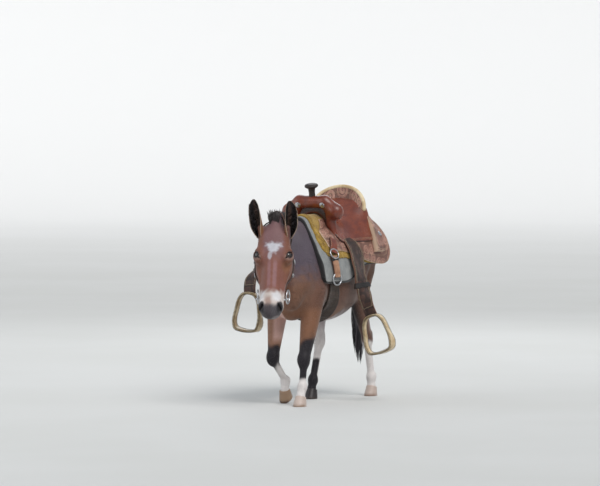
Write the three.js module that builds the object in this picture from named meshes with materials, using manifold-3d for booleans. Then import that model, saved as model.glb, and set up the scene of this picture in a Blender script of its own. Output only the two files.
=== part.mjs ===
// A small bay mule at a walk, life size, in a western saddle and bridle.
// Millimetres. +X is the mule's left, +Y its rear and +Z up. Hooves stand on z = 0.
// The body's own frame has y = 0 at the elbows; the group moves it to the middle of the model.
import * as THREE from "three";
import { mergeVertices } from "three/addons/utils/BufferGeometryUtils.js";
import Module from "manifold-3d";

const wasm = await Module();
wasm.setup();

// Driving dimensions
const FACE_TILT = 30; // degrees from the vertical
const FACE_TURN = 21; // degrees to the mule's left of straight ahead
const GAP = 0.35; // what two touching pieces keep between them
const CENTRE = { x: 4.7, y: 94.4 }; // middle of the model in the body's frame

const point = (x, y, z) => new THREE.Vector3(x, y, z);
const POLL = point(30, -278, 768);
const mirrored = (p, side) => point(p.x * side, p.y, p.z);
const within = (t) => Math.min(1, Math.max(0, t));
const mix = (a, b, t) => a + (b - a) * t;
const ramp = (t, a, b) => {
  const s = within((t - a) / (b - a));
  return s * s * (3 - 2 * s);
};
const turn = (degrees) => THREE.MathUtils.degToRad(degrees);

// Random numbers from a fixed seed
let seed = 7;
function chance() {
  seed = (seed * 16807) % 2147483647;
  return seed / 2147483647;
}

// Soft forms. Each is a function of a point that gives about the distance to its surface, negative inside.
// A bar runs from one point to another and changes radius; flat squeezes its section sideways.
function bar(from, to, r0, r1, flat = 1) {
  const run = to.clone().sub(from);
  const size = run.lengthSq() || 1;
  return (p) => {
    const x = p.x - from.x;
    const y = p.y - from.y;
    const z = p.z - from.z;
    const t = within((x * run.x + y * run.y + z * run.z) / size);
    const away = Math.hypot((x - t * run.x) / flat, y - t * run.y, z - t * run.z);
    return (away - mix(r0, r1, t)) * Math.min(1, flat);
  };
}

// An egg has three radii and may lean forward, with its top tipped back by lean degrees.
function egg(centre, radii, lean = 0) {
  const c = Math.cos(turn(lean));
  const s = Math.sin(turn(lean));
  return (p) => {
    const x = p.x - centre.x;
    const y0 = p.y - centre.y;
    const z0 = p.z - centre.z;
    const y = y0 * c - z0 * s;
    const z = y0 * s + z0 * c;
    const near = Math.hypot(x / radii.x, y / radii.y, z / radii.z);
    const slope = Math.hypot(x / radii.x ** 2, y / radii.y ** 2, z / radii.z ** 2);
    return slope < 1e-9 ? -Math.min(radii.x, radii.y, radii.z) : (near * (near - 1)) / slope;
  };
}

// Joins forms into one flesh, with fillets about soft millimetres wide.
function flesh(forms, soft) {
  return (p) => {
    let d = forms[0](p);
    for (let i = 1; i < forms.length; i++) {
      const e = forms[i](p);
      const h = within(0.5 + (0.5 * (e - d)) / soft);
      d = mix(e, d, h) - soft * h * (1 - h);
    }
    return d;
  };
}
const pair = (make) => [make(1), make(-1)];

// How far a ray goes before it leaves the flesh, where the flesh is grown by some millimetres.
function reachOf(field, from, way, grow, reach) {
  const p = point(0, 0, 0);
  const at = (s) => field(p.copy(from).addScaledVector(way, s)) - grow;
  let near = 0;
  let far = 0;
  let depth = at(0);
  while (far < reach && depth < 0) {
    near = far;
    far += Math.max(3, -0.7 * depth);
    depth = at(far);
  }
  if (far >= reach) return reach;
  for (let i = 0; i < 14; i++) {
    const half = (near + far) / 2;
    if (at(half) < 0) near = half;
    else far = half;
  }
  return near;
}

// Grid of points to a closed body: rings of points between two poles, each ring the same way round.
function bodyOf(rings, first, last) {
  const n = rings[0].length;
  const points = [first, ...rings.flat(), last];
  const index = [];
  const at = (ring, k) => 1 + ring * n + ((k + n) % n);
  const end = points.length - 1;
  for (let k = 0; k < n; k++) {
    index.push(0, at(0, k + 1), at(0, k));
    index.push(end, at(rings.length - 1, k), at(rings.length - 1, k + 1));
  }
  for (let r = 0; r + 1 < rings.length; r++) {
    for (let k = 0; k < n; k++) {
      index.push(at(r, k), at(r, k + 1), at(r + 1, k + 1));
      index.push(at(r, k), at(r + 1, k + 1), at(r + 1, k));
    }
  }
  const geometry = new THREE.BufferGeometry().setFromPoints(points);
  geometry.setIndex(index);
  return geometry;
}

// Skin of a form round a bent spine: rays leave the spine square to it, and fan out over its two ends.
// side is the direction that stays across the spine.
function skin(field, spine, { along, around, fan = 4, reach = 300, grow = 0, side = point(1, 0, 0) }) {
  const curve = new THREE.CatmullRomCurve3(spine, false, "centripetal");
  const rings = [];
  const ringAt = (t, tilt) => {
    const from = curve.getPointAt(t);
    const tangent = curve.getTangentAt(t);
    const u = side.clone().addScaledVector(tangent, -side.dot(tangent)).normalize();
    const v = tangent.clone().cross(u);
    const ring = [];
    for (let k = 0; k < around; k++) {
      const a = (2 * Math.PI * k) / around;
      const flat = u.clone().multiplyScalar(Math.cos(a)).addScaledVector(v, Math.sin(a));
      const way = flat.multiplyScalar(Math.cos(tilt)).addScaledVector(tangent, Math.sin(tilt));
      ring.push(from.clone().addScaledVector(way, reachOf(field, from, way, grow, reach)));
    }
    return ring;
  };
  const pole = (t, sign) => {
    const from = curve.getPointAt(t);
    const way = curve.getTangentAt(t).multiplyScalar(sign);
    return from.clone().addScaledVector(way, reachOf(field, from, way, grow, reach));
  };
  const quarter = Math.PI / 2;
  for (let i = fan; i > 0; i--) rings.push(ringAt(0, (-quarter * i) / (fan + 1)));
  for (let i = 0; i <= along; i++) rings.push(ringAt(i / along, 0));
  for (let i = 1; i <= fan; i++) rings.push(ringAt(1, (quarter * i) / (fan + 1)));
  return bodyOf(rings, pole(0, -1), pole(1, 1));
}

// Closed sheet between two grids of points, such as a strap, a flap or an ear.
function sheet(rows, columns, outer, inner) {
  const points = [];
  for (const face of [outer, inner])
    for (let i = 0; i <= rows; i++)
      for (let j = 0; j <= columns; j++) points.push(face(i / rows, j / columns));
  const w = columns + 1;
  const back = (rows + 1) * w;
  const index = [];
  const quad = (a, b, c, d) => index.push(a, b, c, a, c, d);
  for (let i = 0; i < rows; i++) {
    for (let j = 0; j < columns; j++) {
      const a = i * w + j;
      quad(a, a + 1, a + w + 1, a + w);
      // The same diagonal on both faces, so that a thin sheet doesn't cross itself
      index.push(back + a, back + a + w + 1, back + a + 1, back + a, back + a + w, back + a + w + 1);
    }
  }
  for (let i = 0; i < rows; i++) {
    const a = i * w;
    quad(a, a + w, back + a + w, back + a);
    const b = i * w + columns;
    quad(b + w, b, back + b, back + b + w);
  }
  for (let j = 0; j < columns; j++) {
    quad(j + 1, j, back + j, back + j + 1);
    const c = rows * w + j;
    quad(c, c + 1, back + c + 1, back + c);
  }
  const geometry = new THREE.BufferGeometry().setFromPoints(points);
  geometry.setIndex(index);
  return geometry;
}

// Tube of a given radius at each point, closed at both ends
function rod(points, radius, around, rows, flat = 1, side = point(1, 0, 0)) {
  const curve = new THREE.CatmullRomCurve3(points, false, "centripetal");
  const rings = [];
  for (let i = 0; i <= rows; i++) {
    const t = i / rows;
    const r = typeof radius === "function" ? radius(t) : radius;
    const tangent = curve.getTangentAt(t);
    const u = side.clone().addScaledVector(tangent, -side.dot(tangent)).normalize();
    const v = tangent.clone().cross(u);
    const ring = [];
    for (let k = 0; k < around; k++) {
      const a = (2 * Math.PI * k) / around;
      const p = curve.getPointAt(t).addScaledVector(u, r * Math.cos(a));
      ring.push(p.addScaledVector(v, r * flat * Math.sin(a)));
    }
    rings.push(ring);
  }
  return bodyOf(rings, curve.getPointAt(0), curve.getPointAt(1));
}

// Geometry to a solid that can be cut and joined
function solid(geometry) {
  const bare = geometry.clone();
  for (const name of Object.keys(bare.attributes)) if (name !== "position") bare.deleteAttribute(name);
  const merged = mergeVertices(bare, 1e-4);
  const vertProperties = new Float32Array(merged.attributes.position.array);
  const triVerts = new Uint32Array(merged.index.array);
  const made = new wasm.Manifold(new wasm.Mesh({ numProp: 3, vertProperties, triVerts }));
  if (made.volume() > 0) return made;
  for (let i = 0; i < triVerts.length; i += 3)
    [triVerts[i + 1], triVerts[i + 2]] = [triVerts[i + 2], triVerts[i + 1]];
  return new wasm.Manifold(new wasm.Mesh({ numProp: 3, vertProperties, triVerts }));
}
const fuse = (solids) => solids.reduce((whole, one) => whole.add(one));
const cut = (body, tools) => tools.reduce((left, tool) => left.subtract(tool), body);
const placed = (geometry, matrix) => geometry.clone().applyMatrix4(matrix);

// The largest closed surface of a solid
function largest(made) {
  const bodies = made.decompose();
  return bodies.reduce((best, one) => (one.volume() > best.volume() ? one : best));
}

const mule = new THREE.Group();
mule.position.set(-CENTRE.x, -CENTRE.y, 0);
const solids = {};

// Adds a named piece, cut clear of the pieces named in clear.
function node(name, made, material, tools = []) {
  const body = largest(cut(made, tools));
  solids[name] = body;
  const mesh = body.getMesh();
  const geometry = new THREE.BufferGeometry();
  const positions = new Float32Array(mesh.numVert * 3);
  for (let i = 0; i < mesh.numVert; i++)
    for (let k = 0; k < 3; k++) positions[3 * i + k] = mesh.vertProperties[mesh.numProp * i + k];
  geometry.setAttribute("position", new THREE.BufferAttribute(positions, 3));
  geometry.setIndex(new THREE.BufferAttribute(new Uint32Array(mesh.triVerts), 1));
  const piece = new THREE.Mesh(geometry, material);
  piece.name = name;
  mule.add(piece);
}

const finish = (color, roughness, metalness = 0) =>
  new THREE.MeshStandardMaterial({ color, roughness, metalness });
const COAT = finish(0x8a5f4c, 0.8);
const GREY_COAT = finish(0x6d5b5c, 0.85);
const BLACK_HAIR = finish(0x1c181b, 0.7);
const HOOF = finish(0xa9845a, 0.55);
const EYE = finish(0x120c0a, 0.1);
const FELT = finish(0x9a9894, 0.95);
const FLEECE = finish(0xa8863a, 0.95);
const TAN_LEATHER = finish(0xbe8c7d, 0.6);
const RED_LEATHER = finish(0x7a321e, 0.45);
const BROWN_LEATHER = finish(0x3f2a23, 0.6);
const BLACK_LEATHER = finish(0x1d1a1a, 0.55);
const RAWHIDE = finish(0xe8d7b4, 0.6);
const STEEL = finish(0xb9bcc0, 0.35, 1);
const MOHAIR = finish(0x4a3a30, 0.9);

// Body
const TORSO = flesh(
  [
    egg(point(0, 180, 530), point(148, 280, 190)), // ribs
    egg(point(0, -50, 520), point(104, 132, 170)), // chest
    bar(point(0, -20, 706), point(0, 110, 704), 36, 44, 0.85), // withers
    bar(point(0, 5, 732), point(0, 55, 734), 30, 32, 0.8),
    bar(point(0, 100, 640), point(0, 400, 652), 84, 104), // back and loin
    egg(point(0, 240, 468), point(137, 242, 126)), // belly
    ...pair((s) => bar(point(s * 22, 25, 694), point(s * 72, -105, 500), 28, 42)), // shoulder blade
    ...pair((s) => egg(point(s * 44, -142, 474), point(50, 46, 74))), // breast
    ...pair((s) => egg(point(s * 80, -15, 470), point(42, 85, 100))), // upper arm
    ...pair((s) => egg(point(s * 62, 350, 560), point(68, 120, 130))), // flank
    ...pair((s) => egg(point(s * 56, 428, 640), point(78, 142, 126))), // croup
    ...pair((s) => egg(point(s * 58, 520, 600), point(62, 68, 112))), // buttock
    bar(point(0, 500, 690), point(0, 570, 672), 40, 26), // tail head
  ],
  32,
);
const TORSO_SPINE = [point(0, -90, 545), point(0, 100, 560), point(0, 300, 575), point(0, 500, 610)];
const torso = (grow = 0) => solid(skin(TORSO, TORSO_SPINE, { along: 12, around: 18, fan: 3, grow }));

// Head, in a frame of its own: x to the left, y down the face from the poll and z out of the forehead
const HEAD_FRAME = new THREE.Matrix4()
  .makeTranslation(POLL)
  .multiply(new THREE.Matrix4().makeRotationZ(turn(FACE_TURN)))
  .multiply(new THREE.Matrix4().makeRotationX(turn(90 - FACE_TILT)))
  .multiply(new THREE.Matrix4().makeScale(1, -1, 1));
const HEAD_BACK = HEAD_FRAME.clone().invert();
const onHead = (x, y, z) => point(x, y, z).applyMatrix4(HEAD_FRAME);
const SKULL = flesh(
  [
    egg(point(0, 44, -66), point(68, 80, 62)), // cranium
    egg(point(0, 96, -50), point(71, 92, 46)), // forehead
    ...pair((s) => egg(point(s * 45, 133, -46), point(37, 44, 35))), // brow
    bar(point(0, 132, -48), point(0, 344, -52), 42, 32), // nose
    bar(point(0, 174, -80), point(0, 350, -68), 47, 39, 1.3), // upper jaw
    ...pair((s) => egg(point(s * 41, 152, -110), point(39, 82, 56))), // cheek
    ...pair((s) => bar(point(s * 32, 200, -124), point(s * 14, 336, -98), 24, 16)), // lower jaw
    ...pair((s) => bar(point(s * 70, 116, -78), point(s * 49, 236, -70), 11, 8)), // cheek bone
    egg(point(0, 362, -60), point(48, 44, 39)), // muzzle
    ...pair((s) => egg(point(s * 33, 366, -40), point(18, 29, 20))), // nostril wing
    egg(point(0, 388, -66), point(35, 20, 28)), // upper lip
    egg(point(0, 364, -103), point(26, 30, 18)), // chin
  ],
  15,
);
const HEAD_SPINE = [point(0, 40, -68), point(0, 130, -76), point(0, 250, -76), point(0, 360, -68)];
const headSkin = (grow = 0) =>
  solid(placed(skin(SKULL, HEAD_SPINE, { along: 16, around: 16, fan: 3, grow }), HEAD_FRAME));

// Neck
const NECK = flesh(
  [
    bar(point(0, 30, 712), point(23, -238, 758), 38, 32, 0.75), // crest
    egg(point(23, -236, 786), point(19, 26, 24)), // foot of the mane behind the ears
    bar(point(0, -20, 640), point(25, -238, 694), 92, 58, 0.74),
    bar(point(0, -100, 560), point(25, -232, 652), 80, 42, 0.72), // underside
  ],
  34,
);
const NECK_FILLET = 40;
const BODY = flesh([TORSO, NECK], NECK_FILLET);
const NECK_SPINE = [point(0, -20, 650), point(8, -125, 671), point(23, -228, 702)];
const neckZone = (grow = 0) =>
  solid(skin(NECK, NECK_SPINE, { along: 4, around: 10, fan: 2, reach: 260, grow: NECK_FILLET + 2 + grow }));
const neck = (grow = 0) =>
  solid(skin(BODY, NECK_SPINE, { along: 6, around: 14, fan: 2, reach: 240, grow }))
    .intersect(neckZone(grow));

// Poll and neck together, for the straps that cross them
const onSkull = point(0, 0, 0);
const HEAD_AND_NECK = (p) => Math.min(SKULL(onSkull.copy(p).applyMatrix4(HEAD_BACK)), NECK(p));

// Legs, each from the points of its joints
function foreleg(s, elbow, knee, fetlock, hoof) {
  const down = (p, x, y, z) => point(p.x + s * x, p.y + y, p.z + z);
  const shin = knee.clone().sub(fetlock).normalize();
  const rear = point(0, shin.z, -shin.y).multiplyScalar(11); // behind the cannon bone
  const arm = elbow.clone().lerp(knee, 0.5);
  const forms = [
    bar(down(elbow, 0, 0, 50), elbow.clone().lerp(knee, 0.9), 61, 29, 0.87), // forearm
    bar(down(elbow, 2, -30, 0), down(arm, 2, -12, -6), 32, 20), // muscle in front
    bar(down(elbow, 0, 32, 14), down(arm, 0, 14, 0), 28, 18),
    egg(knee, point(28.5, 28, 38)),
    egg(down(knee, 0, -10, 2), point(21, 16, 26)),
    bar(down(knee, 0, 12, 12), down(knee, 0, 10, -14), 15, 12),
    bar(knee, fetlock, 16, 15),
    bar(down(knee, 0, 9, -20), fetlock.clone().add(rear), 11, 10, 0.8), // tendons
    egg(fetlock, point(19, 20, 21)),
    egg(fetlock.clone().addScaledVector(rear, 1.1), point(15, 11, 15)),
    bar(fetlock, hoof, 16, 21), // pastern
  ];
  return flesh(forms, 13);
}

function hindleg(s, hip, stifle, hock, fetlock, hoof) {
  const down = (p, x, y, z) => point(p.x + s * x, p.y + y, p.z + z);
  const shin = hock.clone().sub(fetlock).normalize();
  const rear = point(0, shin.z, -shin.y).multiplyScalar(12);
  const heelBone = down(hock, 0, 26, 22);
  const forms = [
    bar(hip, down(stifle, -14, 30, 0), 84, 66, 0.8), // thigh
    egg(stifle, point(42, 46, 60)),
    bar(down(stifle, -8, 30, -10), hock, 52, 24, 0.78), // gaskin
    bar(down(hip, 0, 88, -90), down(stifle, -6, 96, -60), 54, 34, 0.8), // ham
    bar(down(stifle, -6, 92, -70), heelBone, 30, 12, 0.75),
    egg(hock, point(23, 27, 36)),
    bar(heelBone, down(hock, 0, 8, -10), 12, 14),
    bar(hock, fetlock, 18, 16, 0.95),
    bar(down(hock, 0, 12, -14), fetlock.clone().add(rear), 12, 10.5, 0.8),
    egg(fetlock, point(19, 20, 21)),
    egg(fetlock.clone().addScaledVector(rear, 1.05), point(15, 11, 15)),
    bar(fetlock, hoof, 16, 21),
  ];
  return flesh(forms, 15);
}

// A hoof stands on a flat sole; pitch lifts its heel and leaves the toe on the floor.
const HOOF_LONG = 74;
const HOOF_WIDE = 57;
const HOOF_HIGH = 46;
function hoofOf(at, { pitch = 0, yaw = 0, grow = 0 }) {
  const rings = [];
  const levels = [
    [0, 1, 0],
    [0.12, 1, 0.03],
    [0.8, 0.84, 0.62],
    [0.93, 0.84, 0.7],
    [1, 0.76, 0.72],
  ];
  for (const [up, size, back] of levels) {
    const ring = [];
    for (let k = 0; k < 14; k++) {
      const a = (2 * Math.PI * k) / 14;
      const front = Math.cos(a);
      const blunt = front < 0 ? 0.86 : 1;
      const x = (HOOF_WIDE / 2) * Math.sin(a) * size * (1 - 0.06 * (1 - front));
      const y = -(HOOF_LONG / 2) * front * blunt * mix(size, size * 0.86, up) + back * 13;
      const z = up * HOOF_HIGH * mix(1, 0.72, (1 - front) / 2);
      const wide = Math.hypot(x, y) || 1;
      ring.push(point(x * (1 + grow / wide), y * (1 + grow / wide), z + (up > 0.9 ? grow : 0)));
    }
    rings.push(ring);
  }
  const foot = bodyOf(rings, point(0, 0, 0), point(0, 10, HOOF_HIGH * 0.86 + grow));
  foot.translate(0, HOOF_LONG / 2, 0);
  foot.rotateX(turn(pitch));
  foot.translate(0, -HOOF_LONG / 2, pitch ? -1.6 : 0);
  foot.rotateZ(turn(yaw));
  foot.translate(at.x, at.y, 0);
  const floor = solid(new THREE.BoxGeometry(4000, 4000, 200).translate(0, 0, -100));
  return cut(solid(foot), [floor]);
}

const FEET = {
  front_left: { at: point(73, -122, 0) },
  front_right: { at: point(-58, 22, 0), pitch: 34 },
  hind_left: { at: point(85, 548, 0) },
  hind_right: { at: point(-71, 282, 0) },
};
const LEGS = {
  front_left: foreleg(
    1,
    point(84, -8, 424),
    point(76, -92, 190),
    point(74, -104, 80),
    point(73, -116, 40),
  ),
  front_right: foreleg(
    -1,
    point(-84, 4, 424),
    point(-80, -66, 194),
    point(-61, 12, 92),
    point(-58, 3, 54),
  ),
  hind_left: hindleg(
    1,
    point(62, 440, 620),
    point(84, 372, 478),
    point(86, 506, 246),
    point(85, 550, 82),
    point(85, 552, 40),
  ),
  hind_right: hindleg(
    -1,
    point(-62, 430, 620),
    point(-86, 322, 474),
    point(-68, 356, 244),
    point(-68, 292, 82),
    point(-71, 286, 40),
  ),
};
const LEG_SPINES = {
  front_left: [
    point(84, -8, 424),
    point(80, -50, 320),
    point(76, -90, 190),
    point(74, -104, 84),
    point(73, -116, 44),
  ],
  front_right: [
    point(-84, 4, 424),
    point(-82, -30, 320),
    point(-80, -64, 194),
    point(-61, 12, 94),
    point(-58, 3, 58),
  ],
  hind_left: [
    point(84, 420, 500),
    point(86, 440, 380),
    point(86, 506, 246),
    point(85, 551, 86),
    point(85, 553, 44),
  ],
  hind_right: [
    point(-84, 378, 500),
    point(-78, 356, 380),
    point(-68, 358, 244),
    point(-68, 296, 86),
    point(-71, 288, 44),
  ],
};
// A leg and the body blend into each other within LEG_FILLET. The leg takes over a little outside that.
const LEG_FILLET = 16;
const legZone = (name, grow = 0) => {
  const how = { along: 4, around: 8, fan: 2, reach: 300, grow: LEG_FILLET + 6 + grow };
  return solid(skin(LEGS[name], LEG_SPINES[name], how));
};
const blended = (name) => flesh([TORSO, LEGS[name]], LEG_FILLET);
const leg = (name, grow = 0) => {
  const whole = skin(blended(name), LEG_SPINES[name], { along: 15, around: 10, fan: 2, reach: 270, grow });
  return solid(whole).intersect(legZone(name, grow));
};

// Solids of the flesh
const torsoClear = torso(GAP);
const headClear = headSkin(GAP);
const POSTS = ["front_left", "front_right", "hind_left", "hind_right"];
// Shapes of the saddle's layers, which the neck and the legs keep clear of.
// The bed that the pad and the saddle lie on: the back, with the tree's arch in front and its bars behind
const BED = flesh(
  [
    TORSO,
    bar(point(0, 150, 600), point(0, 530, 598), 95, 158, 1.04),
    bar(point(0, 34, 742), point(0, 175, 742), 30, 34),
  ],
  14,
);
const AXIS = 560;
function over(y, degrees, offset, field = BED) {
  const from = point(0, y, AXIS);
  const way = point(Math.sin(turn(degrees)), 0, Math.cos(turn(degrees)));
  return from.clone().addScaledVector(way, reachOf(field, from, way, offset, 320));
}
function angleAt(y, z, offset) {
  let high = 5;
  let low = 150;
  for (let i = 0; i < 12; i++) {
    const half = (high + low) / 2;
    if (over(y, half, offset).z > z) high = half;
    else low = half;
  }
  return (high + low) / 2;
}
// A layer of the saddle. Its rows run back along the mule and its columns from top to lower edge, or from one
// lower edge to the other where side is 0.
function layer({ side = 0, rows, columns, front, rear, low, top = 0, inner, outer, hang = 0 }) {
  const face = (offset) => (u, v) => {
    const down = side ? v : 2 * v - 1;
    const y = mix(front(Math.abs(down)), rear(Math.abs(down)), u);
    const lift = typeof offset === "function" ? offset(u, Math.abs(down)) : offset;
    const base = side ? mix(top, angleAt(y, low(y), 20), v) * side : down * angleAt(y, low(y), 20);
    const p = over(y, base, lift);
    if (hang && Math.abs(base) > 90) {
      const x = Math.abs(over(y, 90, lift).x) + hang * (AXIS - p.z);
      p.x = Math.sign(p.x) * Math.max(Math.abs(p.x), x);
    }
    return p;
  };
  return solid(sheet(rows, columns, face(outer), face(inner)));
}
const rounded = (y, from, to, radius) => {
  const near = Math.min(y - from, to - y);
  const t = within(1 - near / radius);
  return radius * (1 - Math.sqrt(Math.max(0, 1 - t * t)));
};
const PAD = {
  rows: 5,
  columns: 10,
  front: (v) => 0 - 14 * v,
  rear: () => 536,
  low: (y) => mix(500, 574, ramp(y, 130, 400)) + rounded(y, -14, 536, 30),
  inner: -2,
  outer: 12,
  hang: 0.1,
};
const FLEECE_SHAPE = {
  rows: 5,
  columns: 10,
  front: () => 32,
  rear: () => 533,
  low: (y) => mix(614, 576, ramp(y, 100, 480)) + rounded(y, 32, 533, 40),
  inner: 11,
  outer: 18,
};
const skirtShape = (side) => ({
  side,
  rows: 5,
  columns: 3,
  top: 12,
  front: (v) => mix(112, 62, ramp(v, 0, 0.33)),
  rear: () => 530,
  low: (y) => mix(640, 572, ramp(y, 100, 480)) + rounded(y, 48, 530, 55),
  inner: 17,
  outer: 23,
});
const SEAT_RISE = new THREE.CatmullRomCurve3([56, 43, 36, 42, 84].map((r, i) => point(i / 4, r, 0)));
const SEAT_SHAPE = {
  rows: 7,
  columns: 8,
  front: () => 148,
  rear: () => 428,
  low: (y) => 668 + rounded(y, 148, 428, 40) * 0.6,
  inner: 21,
  outer: (u, v) => mix(SEAT_RISE.getPoint(u).y, 30, ramp(v, 0.3, 0.8)),
};
const jockeyShape = (side) => ({
  side,
  rows: 5,
  columns: 4,
  top: 5,
  front: () => 404,
  rear: () => 524,
  low: (y) => 622 + rounded(y, 300, 524, 62),
  inner: 21,
  outer: (u) => mix(46, 28, ramp(u, 0, 0.8)),
});
// What a layer needs cut out of the one it lies on
const bedOf = (shape) =>
  layer({
    ...shape,
    front: (v) => shape.front(v) - 3 * GAP,
    rear: (v) => shape.rear(v) + 3 * GAP,
    low: (y) => shape.low(y) - 4 * GAP,
    outer: 46,
    inner: shape.inner - 2 * GAP,
  });
const clearOf = (shape) =>
  layer({
    ...shape,
    front: (v) => shape.front(v) - 2 * GAP,
    rear: (v) => shape.rear(v) + 2 * GAP,
    low: (y) => shape.low(y) - 5 * GAP,
    outer: (u, v) => (typeof shape.outer === "function" ? shape.outer(u, v) : shape.outer) + 2.2 * GAP,
    inner: -40,
  });
const padClear = clearOf(PAD);
const zonesClear = POSTS.map((name) => legZone(name, GAP));
node("torso", torso(), COAT, [bedOf(PAD), ...zonesClear, neckZone(GAP)]);
const fleeceClear = clearOf(FLEECE_SHAPE);
const skirtsClear = [1, -1].map((s) => clearOf(skirtShape(s)));
const seatClear = clearOf(SEAT_SHAPE);
const otherSide = (s) => solid(new THREE.BoxGeometry(600, 1600, 1600).translate(-s * 299.8, 0, 400));
for (const name of POSTS) {
  const { at, ...how } = FEET[name];
  const side = name.endsWith("left") ? 1 : -1;
  const clear = [otherSide(side), hoofOf(at, { ...how, grow: GAP }), padClear];
  node("hoof_" + name, hoofOf(at, how), HOOF);
  node("leg_" + name, leg(name), COAT, clear);
}

// Hair. A lock is flat and tapers from its root, sunk in what carries it, to its tip. across is the
// direction of its width.
function lock(points, wide, thick, across, blunt = 0.12) {
  const line = new THREE.CatmullRomCurve3(points, false, "centripetal");
  const steps = points.length > 3 ? [0.03, 0.4, 0.75, 0.96] : [0.03, 0.5, 0.95];
  const rings = steps.map((t) => {
    const tangent = line.getTangentAt(t);
    const side = across.clone().addScaledVector(tangent, -across.dot(tangent)).normalize();
    const out = tangent.clone().cross(side);
    const size = mix(1, blunt, t ** 2.2);
    const centre = line.getPointAt(t);
    const corner = (a, b) => centre.clone().addScaledVector(side, a * size).addScaledVector(out, b * size);
    return [corner(wide / 2, 0), corner(0, thick / 2), corner(-wide / 2, 0), corner(0, -thick / 2)];
  });
  return solid(bodyOf(rings, line.getPointAt(0), line.getPointAt(1)));
}

// The mane is clipped short and stands up in two rows of locks that lean a little apart.
const MANE_LINE = [point(20, -214, 788), point(13, -160, 781), point(6, -90, 766), point(1, -24, 752)];
const MANE_HIGH = 29;
const maneCurve = new THREE.CatmullRomCurve3(MANE_LINE, false, "centripetal");
const maneLocks = [];
const MANE_PAIRS = 7;
for (let i = 0; i < MANE_PAIRS; i++) {
  for (const s of [1, -1]) {
    const t = (i + 0.5 + s * 0.25) / MANE_PAIRS;
    const foot = maneCurve.getPointAt(t).add(point(s * 4, 0, -14));
    const high = MANE_HIGH * (0.86 + 0.22 * chance()) * mix(1, 0.66, t ** 2);
    const lean = point(s * (0.16 + 0.16 * chance()), -0.1 + 0.22 * chance(), 1);
    const middle = foot.clone().addScaledVector(lean, (14 + high) * 0.6);
    const tip = foot.clone().addScaledVector(lean, 14 + high).add(point(s * 3, 4, 0));
    maneLocks.push(lock([foot, middle, tip], 37, 11, point(0, -1, -0.2), 0.5));
  }
}
const maneCore = solid(rod(MANE_LINE, 6, 6, 7, 2.2, point(1, 0, 0)));

// The tuft of hair between the ears, part of the head
const TUFT = 5;
const tuft = [];
for (let i = 0; i < TUFT; i++) {
  const a = turn(mix(-16, 17, (i + 0.5) / TUFT));
  const foot = onHead(46 * Math.sin(a), -6 + 12 * (i % 2), -34);
  const way = point(Math.sin(a) * 0.7, -0.2 - 0.3 * chance(), 1);
  way.applyAxisAngle(point(0, 0, 1), turn(FACE_TURN));
  const long = 60 + 12 * chance();
  const at = (t) => foot.clone().addScaledVector(way, long * t).add(point(0, -9 * t * t, 0));
  const points = [0, 0.5, 1].map(at);
  tuft.push((grow) => lock(points, 22 + 2 * grow, 10 + 2 * grow, point(1, 0.3, 0), 0.3));
}
const tuftClear = fuse(tuft.map((make) => make(2 * GAP)));
node("neck", fuse([neck(), maneCore, ...maneLocks]), GREY_COAT, [
  ...zonesClear,
  headClear,
  tuftClear,
  padClear,
]);
const neckClear = neck(GAP);
const legsClear = Object.fromEntries(POSTS.map((name) => [name, leg(name, GAP)]));

// The eye, its lids and the socket that holds it
const EYE_RADIUS = 15;
const eyeAt = (s) => point(s * 61, 136, -31);
const ball = (centre, radius, detail = 12) =>
  solid(placed(new THREE.SphereGeometry(radius, detail * 2, detail).translate(...centre), HEAD_FRAME));
const EYE_OUT = 46; // degrees from straight ahead to the way the eye looks
function lidOpening(s) {
  // Almond between the lids, as a thick lens pushed in from outside
  const shape = new THREE.Shape();
  shape.moveTo(-17, -5);
  shape.quadraticCurveTo(-3, 19, 17, 3);
  shape.quadraticCurveTo(3, -18, -17, -5);
  const lens = new THREE.ExtrudeGeometry(shape, { depth: 40, bevelEnabled: false, curveSegments: 4 });
  const at = eyeAt(s);
  const place = new THREE.Matrix4()
    .makeTranslation(at)
    .multiply(new THREE.Matrix4().makeRotationY(turn(s * EYE_OUT)))
    .multiply(new THREE.Matrix4().makeRotationZ(turn(90)));
  return solid(placed(lens, HEAD_FRAME.clone().multiply(place)));
}
let head = headSkin();
for (const s of [1, -1]) {
  head = head.add(ball(eyeAt(s), EYE_RADIUS + 3.6, 6));
  head = cut(head, [ball(eyeAt(s), EYE_RADIUS + 2 * GAP, 6), lidOpening(s)]);
}
// Nostrils and the line of the mouth
function nostril(s) {
  const hole = new THREE.SphereGeometry(1, 8, 6).scale(7.5, 15, 14);
  hole.rotateZ(turn(s * -24)).rotateY(turn(s * 20)).translate(s * 37, 374, -34);
  return solid(placed(hole, HEAD_FRAME));
}
function mouthLine() {
  const slab = new THREE.BoxGeometry(150, 118, 2.6);
  const core = new THREE.CylinderGeometry(1, 1, 30, 14).rotateX(Math.PI / 2).scale(36, 64, 1);
  slab.translate(0, 367, -88);
  core.translate(0, 335, -88);
  const line = solid(slab).subtract(solid(core));
  return line.transform([...HEAD_FRAME.elements]);
}
const BIT = point(62, 288, -107); // centre of a bit ring
const MOUTH_CORNER = point(68, 308, -88);
const mouthpiece = (grow) => {
  const line = [-1, -0.5, 0, 0.5, 1].map((t) =>
    onHead(t * MOUTH_CORNER.x, MOUTH_CORNER.y + 5 * (1 - t * t), MOUTH_CORNER.z),
  );
  return solid(rod(line, 4.6 + grow, 6, 4, 1, point(0, 0, 1)));
};
head = cut(head, [nostril(1), nostril(-1), mouthLine(), mouthpiece(GAP)]);
head = fuse([head, ...tuft.map((make) => make(0))]);
node("head", head, COAT);

for (const s of [1, -1]) node(s > 0 ? "eye_left" : "eye_right", ball(eyeAt(s), EYE_RADIUS, 6), EYE);

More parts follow.
